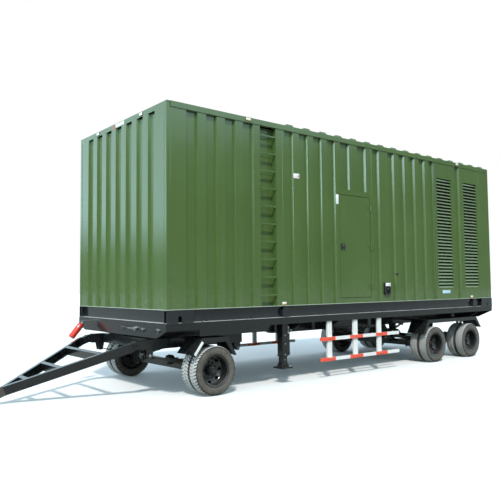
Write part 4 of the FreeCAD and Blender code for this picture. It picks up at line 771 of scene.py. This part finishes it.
def roof_trim(paints):
    """Closing pieces over the roof ridges' ends, and rivets along the fascias."""
    form = Form()
    top = (ROOF_TOP - HOUSING_Z) * 1000
    for side in SIDES.values():
        for index in range(16):
            x = 2325 + 406 * index
            corners = [(x + 2, top - 33), (x + 188, top - 33), (x + 157, top - 0.5), (x + 33, top - 0.5)]
            outline = [(HOUSING_X + a / 1000, HOUSING_Z + b / 1000) for a, b in corners]
            form.plate(outline, "y", side * 1.5020, side * 1.5075, 0.001)
    form.done("roof_ridge_caps", "trailer", [paints["green"]])
    form = Form()
    for side in SIDES.values():
        for index in range(44):
            form.turned(RIVET, at(150 + 199 * index, side * 1511.5, FASCIA_MIDDLE), (0, side, 0), 10,
                        closed=False)
    for end, x in ((-1, 0.4), (1, 8839.6)):
        for index in range(14):
            form.turned(RIVET, at(x, -1300 + 200 * index, FASCIA_MIDDLE), (end, 0, 0), 10, closed=False)
    form.done("fascia_rivets", "trailer", [paints["green"]])


def wall_trim(paints):
    """Welded seams between the wall's sheets, and a pale green strip along the housing's foot that is a
    painted highlight.
    """
    form = Form()
    for side in SIDES.values():
        for x in (1626, 2252, 4560, 6612, 8392):
            form.turned(SEAM, at(x, side * WALL_Y, 8), "z", 10, closed=False)
        block(form, (60, 68), (side * WALL_Y, side * 1501.6), (6, 2944), 0.0007)
    for x in (-0.8, 8840.8):
        for y in (-1430, 1430):
            form.turned(SEAM, at(x, y, 8), "z", 10, closed=False)
    form.done("wall_seams", "trailer", [paints["green"]])
    # A pale green strip along the housing's foot: a painted highlight.
    form = Form()
    for side in SIDES.values():
        block(form, (0, LENGTH), (side * 1494, side * 1503), (-1.5, 6.5), 0.002)
    for x in ((-2.5, 6), (8834, 8842.5)):
        block(form, x, (-1500, 1500), (-1.5, 6.5), 0.002)
    form.done("foot_highlight_strip", "trailer", [paints["sealant"]])


def marker_lamp(form, centre, way, along, amber=True):
    """A white lamp on a black pad: along is its long direction, way is out of the wall."""
    way, along = Vector(way), Vector(along)
    over = way.cross(along)
    frame_of = Matrix((along, over, way)).transposed()

    def slab(half_x, half_y, low, high, bevel, tag, shift=0.0):
        own = bmesh.new()
        bmesh.ops.create_cube(own, size=1.0)
        for vert in own.verts:
            local = Vector((vert.co.x * 2 * half_x, vert.co.y * 2 * half_y + shift,
                            low + (vert.co.z + 0.5) * (high - low)))
            vert.co = centre + frame_of @ local
        bmesh.ops.bevel(own, geom=own.edges, offset=bevel, segments=3, affect="EDGES", profile=0.5,
                        clamp_overlap=True)
        form.absorb(own, tag)

    slab(0.050, 0.026, 0.0, 0.005, 0.0015, 0)
    slab(0.046, 0.022, 0.0045, 0.0150, 0.0040, 1)
    if amber:
        sign = 1 if over.z < 0 else -1
        slab(0.040, 0.0075, 0.0060, 0.0158, 0.0025, 2, 0.0125 * sign)
    for end in (-1, 1):
        spot = centre + frame_of @ Vector((end * 0.043, 0, 0.0148))
        form.turned([(0, 0), (0.0032, 0), (0.0028, 0.0012), (0, 0.0014)], spot, way, 10, 3, closed=False)


def lamps(paints):
    """Marker lamps round the housing and the tail lamps under the rear plate."""
    form = Form()
    for side in SIDES.values():
        for x in (1508, 7513):
            marker_lamp(form, at(x, side * 1512, 3000), (0, side, 0), (1, 0, 0))
        for x in (2248, 7983):
            marker_lamp(form, at(x, side * WALL_Y, 43), (0, side, 0), (1, 0, 0))
        marker_lamp(form, at(0, side * 760, 2990), (-1, 0, 0), (0, 1, 0), amber=False)
    made = form.done("marker_lamp_set", "trailer",
                     [paints["black"], paints["lens"], paints["amber"], paints["steel"]])
    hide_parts("marker_lamps")
    form = Form()
    for y in (-1190, -1100, 1100, 1190):
        base = at(8852, y, -250)
        form.turned([(0, 0), (0.0395, 0), (0.0395, 0.010), (0.0365, 0.014), (0.0355, 0.010), (0, 0.010)],
                    base, "x", 32, 0, closed=False)
        form.turned([(0.0355, 0.008), (0.0350, 0.0165), (0.0300, 0.0225), (0.0180, 0.0275), (0, 0.0290)],
                    base, "x", 32, 1 if abs(y) > 1150 else 2, closed=False)
        for ring in range(3):
            radius = 0.010 + 0.008 * ring
            form.turned([(radius, 0.0245 - 0.0022 * ring), (radius + 0.003, 0.0285 - 0.0028 * ring),
                         (radius + 0.005, 0.0235 - 0.0028 * ring)], base, "x", 32,
                        1 if abs(y) > 1150 else 2, closed=True)
    made = form.done("tail_lamp_set", "trailer",
                     [paints["black"], paints["ruby"], paints["amber"]])
    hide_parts("marker_lamps")


def plates(paints):
    """The blank plates on the near wall: white, white and pale blue, each riveted at its corners."""
    for name, (x0, x1), (z0, z1), paint in (("label_plate", (2493, 2640), (2156, 2246), "white"),
                                            ("notice_plate", (3540, 3620), (1795, 1980), "white"),
                                            ("maker_plate", (6840, 7145), (126, 202), "blue")):
        form = Form()
        block(form, (x0, x1), (-1502.6, -1500), (z0, z1), 0.0011)
        block(form, (x0 + 5, x1 - 5), (-1503, -1502), (z0 + 5, z1 - 5), 0.0004, 1)
        for x in (x0 + 9, x1 - 9):
            for z in (z0 + 9, z1 - 9):
                form.turned([(0, 0), (0.0034, 0), (0.003, 0.0014), (0, 0.002)], at(x, -1502.4, z), (0, -1, 0),
                            10, 2, closed=False)
        if name == "label_plate":
            form.turned([(0, 0), (0.017, 0), (0.017, 0.0006), (0, 0.0006)],
                        at(x1 - 28, -1502.9, (z0 + z1) / 2),
                        (0, -1, 0), 24, 3, closed=False)
        made = form.done(name, "trailer",
                         [paints["steel"], paints[paint], paints["steel"], paints["orange"]])
        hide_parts("blank_plates")
    form = Form()
    block(form, (-1.6, 0.4), (-190, 110), (2962, 3020), 0.0006, 0)
    form.turned([(0, 0), (0.026, 0), (0.026, 0.0014), (0, 0.0018)], at(-0.2, 200, 2982), (-1, 0, 0), 28, 1,
                closed=False)
    form.done("front_fascia_plate", "trailer", [paints["white"], paints["orange"]])


def switch_box(paints):
    """The isolator's box: a moulded hood with a labelled top, a sunken face and a lockable disc."""
    form = Form()
    block(form, SWITCH_X, (SWITCH_FACE, -WALL_Y), (292, 373), 0.006)
    for x in ((4850, 4885), (4989, 5024)):
        block(form, x, (SWITCH_FACE, -WALL_Y), (140, 300), 0.005)
    block(form, SWITCH_X, (SWITCH_FACE, -WALL_Y), (140, 165), 0.005)
    block(form, (4880, 4994), (-1512, -1500), (160, 296), 0.001)
    block(form, (4860, 5014), (-1547, -1545), (303, 364), 0.0008, 1)
    form.turned([(0, 0), (0.0125, 0), (0.0125, 0.0012), (0, 0.0016)], at(4985, -1546.8, 333), (0, -1, 0), 24,
                2,
                closed=False)
    for x in (4861, 5013):
        for z in (151, 290):
            form.turned([(0, 0), (0.0048, 0), (0.0042, 0.0018), (0, 0.0022)], at(x, -1545.8, z), (0, -1, 0),
                        12,
                        3, closed=False)
    made = form.done("isolator_box", "trailer",
                     [paints["black"], paints["white"], paints["orange"], paints["steel"]])
    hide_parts("switch_box")
    form = Form()
    form.turned([(0, 0.0), (0.0158, 0), (0.0158, 0.018), (0.0145, 0.0205), (0, 0.0205)],
                at(4937, -1513.2, 228),
                (0, -1, 0), 32, 0, closed=False)
    block(form, (4929, 4945), (-1545, -1531), (206, 274), 0.0045)
    block(form, (4934.5, 4939.5), (-1545.8, -1544), (246, 268), 0.0006, 1)
    made = form.done("isolator_grip", "isolator_handle", [paints["black"], paints["white"]])
    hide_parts("switch_handle")


def doors(paints):
    """Seals, latches and hinge covers of the two doors."""
    for name, side in SIDES.items():
        leaf, way = f"{name}_door_leaf", (0, side, 0)
        form = Form()
        for x in ((3640.5, 3644), (4486, 4489.5)):
            block(form, x, (side * 1494, side * 1499), (106, 1981), 0.001)
        for z in ((105.5, 109), (1978, 1981.5)):
            block(form, (3641, 4489), (side * 1494, side * 1499), z, 0.001)
        form.done(f"{name}_door_seal", "trailer", [paints["seal"]])
        form = Form()
        for x in ((3655, 3674), (3750, 3769)):
            block(form, x, (side * 1505, side * 1511), (973, 1090), 0.003)
        block(form, (3655, 3769), (side * 1505, side * 1511), (1079.5, 1090), 0.003)
        block(form, (3655, 3769), (side * 1505, side * 1511), (973, 990), 0.003)
        form.turned([(0, 0), (0.0085, 0), (0.0085, 0.0020), (0.006, 0.0026), (0, 0.0026)],
                    at(3712, side * 1510.5, 981.5), way, 20, 1, closed=False)
        for x in (3663, 3761):
            for z in (981, 1082):
                form.turned([(0, 0), (0.0036, 0), (0.003, 0.0014), (0, 0.0018)], at(x, side * 1510.8, z),
                            way, 10,
                            1, closed=False)
        form.done(f"{name}_latch_surround", leaf, [paints["black"], paints["steel"]])
        form = Form()
        block(form, (3675, 3749), (side * 1505.8, side * 1514.6), (993, 1078), 0.0025)
        block(form, (3684, 3740), (side * 1514.2, side * 1515.4), (1000, 1030), 0.0006)
        for z in (1003, 1010, 1017, 1024):
            block(form, (3690, 3734), (side * 1515.0, side * 1516.2), (z, z + 2.4), 0.0005)
        form.turned([(0, 0), (0.0105, 0), (0.0105, 0.0016), (0.0075, 0.0026), (0, 0.0026)],
                    at(3712, side * 1514.4, 1054), way, 24, 1, closed=False)
        made = form.done(f"{name}_paddle", f"{name}_latch",
                         [paints["black"], paints["steel"]])
        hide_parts(f"{name}_latch_paddle")
        form = Form()
        for z in HINGE_HEIGHTS:
            for end in (-1, 1):
                form.turned([(0, 0), (0.0146, 0), (0.0146, 0.004), (0.0105, 0.0085), (0, 0.010)],
                            at(4494, side * 1514, z + end * 50.2), (0, 0, end), 24, closed=False)
            for x in (4525, 4570):
                for dz in (-28, 28):
                    form.turned([(0, 0), (0.0085, 0), (0.008, 0.0028), (0.004, 0.0046), (0, 0.005)],
                                at(x, side * 1505.2, z + dz), way, 14, closed=False)
        form.done(f"{name}_hinge_trim", "trailer", [paints["green"]])
    form = Form()
    base = at(5282, -1500, 543)
    form.turned([(0, 0), (0.030, 0), (0.030, 0.004), (0.021, 0.007), (0.019, 0.022), (0.015, 0.027),
                 (0, 0.028)],
                base, (0, -1, 0), 32, closed=False)
    form.done("wall_stop_button", "trailer", [paints["black"]])


def skid_details(paints):
    """Bolts along the skid, and a pale strip on its lower flange that is a painted sky reflection."""
    form = Form()
    for side in SIDES.values():
        for first in (0, LENGTH - 449):
            for x in (40, 130, 310, 410):
                for z in (-30, -170):
                    if not (150 < x < 290 and z < -60):
                        form.bolt(at(first + x, side * 1499.6, z), (0, side, 0), 0.024, 0.011)
        for x in (700, 1560, 3200, 4060, 4920, 5780, 7400):
            for dx in (-45, 45):
                form.bolt(at(x + dx, side * 1465, -187.8), (0, 0, 1), 0.026, 0.014, stud=0.008)
    form.done("skid_bolts", "trailer", [paints["nut"]])
    # A pale strip on the skid's lower flange: a painted sky reflection.
    form = Form()
    for side in SIDES.values():
        block(form, (0, LENGTH), (side * 1439, side * 1499), (-188.4, -186.6), 0.0005)
    for x in ((2, 74), (8766, 8838)):
        block(form, x, (-1424, 1424), (-188.4, -186.6), 0.0005)
    form.done("flange_sky_reflection", "trailer", [paints["dust"]])


def fender_trim(paints):
    """White reflective strips on the slanted front lips of the dolly's fenders."""
    form = Form()
    way = Vector((0.180, 0, 0.234)).normalized()
    over = Vector((-way.z, 0, way.x))
    for side in SIDES.values():
        start = at(452, side * WALL_Y, -652) - over * 0.012
        corners = [start, start + way * 0.235, start + way * 0.235 - over * 0.042, start - over * 0.042]
        form.plate([(p.x, p.z) for p in corners], "y", side * 1.4999, side * 1.5014, 0.0005)
    form.done("fender_strips", "dolly", [paints["white"]])


def legs(paints):
    """The landing legs' jacks: pale crowns, a gearbox, pin and crank socket, with bolted brackets."""
    form = Form()
    for side in SIDES.values():
        y = side * LEG_Y
        jack = at(LEG_X + 62.5 + 42, y, -474)
        form.turned([(0.0425, -0.36), (0.0435, -0.352), (0.0435, -0.330), (0.0425, -0.322)], jack, "z", 32, 1)
        form.turned([(0, 0.0), (0.0435, 0.0), (0.0435, 0.012), (0.036, 0.020), (0.0285, 0.024),
                     (0.0285, 0.100),
                     (0.0315, 0.106), (0.0315, 0.118), (0, 0.118)], jack, "z", 32, 0, closed=False)
        form.rod(jack + Vector((0, 0, 0.06)), jack + Vector((0, side * 0.095, 0.06)), 0.017, 20, 0.002, 2)
        form.rod(jack + Vector((0, side * 0.09, 0.06)), jack + Vector((0, side * 0.118, 0.06)), 0.011, 6,
                 0.001, 2)
        block(form, (2290, 2434), (side * 1262, side * 1267), (-470, -330), 0.002, 1)
        for z in (-445, -360):
            for x in (2308, 2416):
                form.bolt(at(x, side * 1262, z), (0, -side, 0), 0.024, 0.012, stud=0.006, tag=2)
        block(form, (2292, 2432), (y - 70, y + 70), (-846, -832), 0.003, 1)
        form.rod(at(LEG_X, side * 1385, -905), at(LEG_X, side * 1275, -905), 0.012, 16, 0.0015, 2)
        for z in (-820, -640, -500):
            form.bolt(at(LEG_X, side * 1392.4, z), (0, side, 0), 0.022, 0.010, tag=2)
    form.done("landing_jack_trim", "trailer",
              [paints["white"], paints["frame"], paints["steel"]])


def extinguisher(paints):
    """A tilted red bottle with its valve, lever, gauge, hose and the strap that holds it."""
    tilt = math.radians(39.3)
    along, across_ = Vector((math.sin(tilt), 0, math.cos(tilt))), Vector((0, 1, 0))
    foot = at(-357, 1015, -511)
    form = Form()
    form.turned([(0, 0.004), (0.046, 0.0), (0.0535, 0.006), (0.055, 0.018), (0.055, 0.236), (0.0535, 0.252),
                 (0.0470, 0.270), (0.0350, 0.281), (0.0210, 0.286), (0.0170, 0.290), (0, 0.290)], foot,
                along, 48, 0, closed=False)
    form.turned([(0.0550, 0.200), (0.0562, 0.201), (0.0562, 0.213), (0.0550, 0.214)], foot, along, 48, 2)
    form.turned([(0, 0.286), (0.0165, 0.286), (0.0165, 0.298), (0.012, 0.303), (0.012, 0.3175), (0, 0.3175)],
                foot,
                along, 20, 2, closed=False)
    side = along.cross(across_)
    head = foot + along * 0.300
    form.rod(head, head + side * 0.026, 0.006, 12, 0.001, 2)
    form.turned([(0, 0), (0.011, 0), (0.011, 0.006), (0, 0.006)], head + side * 0.024, side, 20, 2,
                closed=False)
    form.rod(head - side * 0.004 + along * 0.010, head - side * 0.050 + along * 0.013, 0.0035, 10, 0.001, 1)
    form.rod(head - side * 0.004 + along * 0.001, head - side * 0.048 - along * 0.006, 0.0035, 10, 0.001, 1)
    form.tube([head - side * 0.012, head - side * 0.040 - along * 0.010, head - side * 0.056 - along * 0.045,
               foot - side * 0.056 + along * 0.200, foot - side * 0.0565 + along * 0.130], 0.0052, 10, 4)
    made = form.done("extinguisher_bottle", "trailer",
                     [paints["red"], paints["black"], paints["steel"], paints["white"], paints["seal"]])
    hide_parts("fire_extinguisher")


def couplings(paints):
    """Bolts and caps on the front plate's sockets, the brake lever's grip and the turntable's bolts."""
    form = Form()
    for y, z in ((-830, -308), (-1283, -300)):
        for turn in range(4):
            angle = math.pi / 4 + math.pi / 2 * turn
            form.bolt(at(-26, y + 31 * math.cos(angle), z + 31 * math.sin(angle)), (-1, 0, 0), 0.009, 0.006)
        form.turned([(0, 0), (0.0265, 0), (0.0265, 0.010), (0.0235, 0.0135), (0.0175, 0.0145),
                     (0.0165, 0.0115),
                     (0, 0.0115)], at(-45, y, z), (-1, 0, 0), 28, 1, closed=False)
    form.done("socket_caps", "trailer", [paints["steel"], paints["black"]])
    form = Form()
    form.rod(at(-38, -390, -292), at(-38, -226, -292), 0.0185, 24, 0.004)
    for index in range(9):
        y = -380 + 17 * index
        form.turned([(0.0183, 0), (0.0198, 0.003), (0.0198, 0.007), (0.0183, 0.010)], at(-38, y, -292), "y",
                    24)
    form.done("lever_grip", "parking_brake_lever", [paints["black"]])
    form = Form()
    for index in range(16):
        turn = 2 * math.pi * (index + 0.5) / 16
        form.bolt(at(AXLE_X["dolly"] + RACE_BOLTS * math.cos(turn), RACE_BOLTS * math.sin(turn), -479),
                  (0, 0, -1),
                  0.022, 0.010)
    form.done("turntable_bolts", "dolly", [paints["nut"]])


def underside(paints):
    """Air tanks on their bands and brackets, and brake chambers with their rods."""
    form = Form()
    for y in (-470, 470):
        tank = at(4700, y, -480)
        form.turned([(0, 0), (0.07, 0.004), (0.115, 0.022), (0.130, 0.055), (0.130, 0.745), (0.115, 0.778),
                     (0.07, 0.796), (0, 0.80)], tank, "x", 48, 0, closed=False)
        for x in (4880, 5310):
            form.turned([(0.1303, 0), (0.1330, 0.001), (0.1330, 0.034), (0.1303, 0.035)], at(x, y, -480),
                        "x", 48, 1)
            block(form, (x, x + 36), (y - 6, y + 6), (-352, -300), 0.002, 1)
    form.done("air_tanks", "trailer", [paints["frame"], paints["steel"]])
    for body, x, name in AXLE_BODIES:
        form = Form()
        for y in (-430, 430):
            base = at(x - 95, y, -845)
            form.turned([(0, 0), (0.070, 0), (0.078, 0.020), (0.078, 0.055), (0.084, 0.060), (0.084, 0.072),
                         (0.078, 0.077), (0.074, 0.105), (0.050, 0.122), (0, 0.124)], base, (-1, 0, 0), 36, 0,
                        closed=False)
            form.rod(base + Vector((0.10, 0, 0)), base, 0.008, 12, 0.001, 1)
            block(form, (x - 62, x + 10), (y - 8, y + 8), (-872, -820), 0.003, 0)
        form.done(f"{name}_brake_chambers", body, [paints["frame"], paints["steel"]])


def spring_trim(paints):
    """Nuts and washers under the axle clamps' plates, and bolts at the dolly springs' eyes."""
    for body, x, name in AXLE_BODIES:
        form = Form()
        for y in (-842, 842):
            for dx in (-70, 70):
                for dy in (-49, 49):
                    form.bolt(at(x + dx, y + dy, -1006), (0, 0, -1), 0.028, 0.016, stud=0.010)
            if name == "dolly":
                for eye in (x - 774, x + 885):
                    out = -1 if y < 0 else 1
                    form.bolt(at(eye, y + out * 49, -697.5), (0, out, 0), 0.042, 0.018, stud=0.012, tag=1)
        form.done(f"{name}_clamp_nuts", body, [paints["nut"], paints["steel"]])


def guards(paints):
    """Bolts through the side guards' rails and posts."""
    form = Form()
    for side in SIDES.values():
        for index in range(3):
            x = 3354 + 688 * index
            for z in (-964, -609):
                for dx in (-28, 28):
                    form.bolt(at(x + dx, side * 1499.6, z), (0, side, 0), 0.020, 0.009)
    form.done("guard_bolts", "trailer", [paints["steel"]])


def details(paints):
    for work in (baffles, roof_trim, wall_trim, lamps, plates, switch_box, doors, skid_details, fender_trim,
                 legs, extinguisher, couplings, underside, spring_trim, guards):
        work(paints)


# ------------------------------------------------------------------------------ CAD nodes' finishes
def make_paints():
    bands = [(HOUSING_X + a, HOUSING_X + b) for a, b in ((3.107, 3.475), (3.859, 4.219), (4.590, 4.935))]
    rails = [(HOUSING_Z - 0.995, HOUSING_Z - 0.933), (HOUSING_Z - 0.640, HOUSING_Z - 0.578)]
    return {
        "green": green_paint(), "ladder": ladder_paint(), "frame": frame_paint(), "skid": skid_paint(),
        "guard": guard_paint(bands, rails, "guard_enamel"), "rim": rim_paint(), "rubber": tyre_rubber(),
        "steel": plain("zinc_steel", (0.42, 0.42, 0.41), (0.30, 0.30, 0.30), 0.35, metal=0.9,
                       spot=(0.20, 0.13, 0.08)),
        "nut": plain("nut_steel", (0.10, 0.10, 0.10), (0.16, 0.15, 0.14), 0.35, metal=0.7,
                     spot=(0.16, 0.09, 0.05)),
        "cast": plain("cast_iron", (0.055, 0.050, 0.046), (0.09, 0.075, 0.062), 0.65,
                      spot=(0.14, 0.08, 0.045)),
        "black": plain("black_plastic", (0.010, 0.010, 0.011), (0.018, 0.018, 0.019), 0.32, coat=0.3),
        "seal": plain("rubber_seal", (0.012, 0.012, 0.012), (0.022, 0.022, 0.021), 0.75),
        "white": plain("white_plate", (0.86, 0.86, 0.85), (0.80, 0.80, 0.79), 0.35, coat=0.3),
        "blue": plain("pale_blue_plate", (0.42, 0.66, 0.80), (0.52, 0.74, 0.86), 0.35, coat=0.3),
        "amber": plain("amber_lens", (0.95, 0.55, 0.12), (0.90, 0.45, 0.08), 0.12, coat=0.8, scale=60.0),
        "lens": plain("clear_lens", (0.90, 0.88, 0.80), (0.82, 0.80, 0.72), 0.12, coat=0.8, scale=60.0),
        "red": plain("red_enamel", (0.72, 0.035, 0.015), (0.62, 0.028, 0.012), 0.2, coat=0.8),
        "ruby": plain("red_lens", (0.60, 0.01, 0.008), (0.48, 0.008, 0.006), 0.12, coat=0.8, scale=60.0),
        "grey": plain("grey_enamel", (0.20, 0.21, 0.21), (0.26, 0.27, 0.26), 0.4, coat=0.3,
                      spot=(0.10, 0.09, 0.08)),
        "cream": plain("engine_enamel", (0.34, 0.36, 0.33), (0.28, 0.30, 0.27), 0.4, coat=0.3,
                       spot=(0.10, 0.09, 0.07)),
        "foil": plain("silencer_skin", (0.62, 0.61, 0.58), (0.50, 0.48, 0.45), 0.35, metal=0.9,
                      spot=(0.30, 0.22, 0.15)),
        "foam": plain("acoustic_foam", (0.010, 0.010, 0.010), (0.018, 0.018, 0.017), 0.85, scale=30.0,
                      grain=90.0, bumped=0.5),
        # Pale strip on the skid's lower flange: a painted sky reflection.
        "dust": plain("flange_reflection_paint", (0.50, 0.49, 0.46), (0.72, 0.71, 0.68), 0.6, scale=7.0),
        "louvre": louvre_paint(),
        # Pale green of the strip along the housing's foot: a painted highlight.
        "sealant": plain("foot_highlight_strip", (0.55, 0.62, 0.52), (0.40, 0.47, 0.38), 0.4, scale=5.0),
        "orange": plain("vermilion_dot", (0.85, 0.10, 0.05), (0.78, 0.08, 0.04), 0.4, scale=60.0),
        "core": plain("radiator_core", (0.015, 0.015, 0.016), (0.03, 0.03, 0.03), 0.6),
    }


def coat_nodes(paints):
    chosen = {
        "green": ("near_wall", "far_wall", "end_walls", "roof", "near_door", "far_door", "door_hinges"),
        "louvre": ("louvre_panels",),
        "ladder": ("ladder_rungs",),
        "skid": ("skid_frame", "skid_side_channels", "skid_corner_plates"),
        "guard": ("side_guards",), "white": ("blank_plates",), "lens": ("marker_lamps",),
        "black": ("near_latch_paddle", "far_latch_paddle", "switch_box"),
        "steel": ("switch_handle", "brake_lever", "coupling_sockets", "rotor_crankshaft", "cooling_fan"),
        "red": ("fire_extinguisher",), "cream": ("engine_block", "alternator_stator"),
        "grey": ("control_cabinet", "fuel_tank"), "foil": ("exhaust_silencer",), "core": ("radiator",),
        "cast": ("rear_springs", "dolly_springs", "tow_eye"),
    }
    of_node = {node: paint for paint, nodes in chosen.items() for node in nodes}
    for name, thing in NODES.items():
        kind = of_node.get(name, "rubber" if name.endswith("_tyres") else "frame")
        thing.data.materials.clear()
        thing.data.materials.append(paints[kind])


# ------------------------------------------------------------------------------ the whole
def build():
    camera()
    sky()
    lamp("key", (0.42, 0.50, -0.76), 2.9, 5.0, (1.0, 0.97, 0.92))
    floor()
    paints = make_paints()
    coat_nodes(paints)
    wheels(paints)
    details(paints)


build()
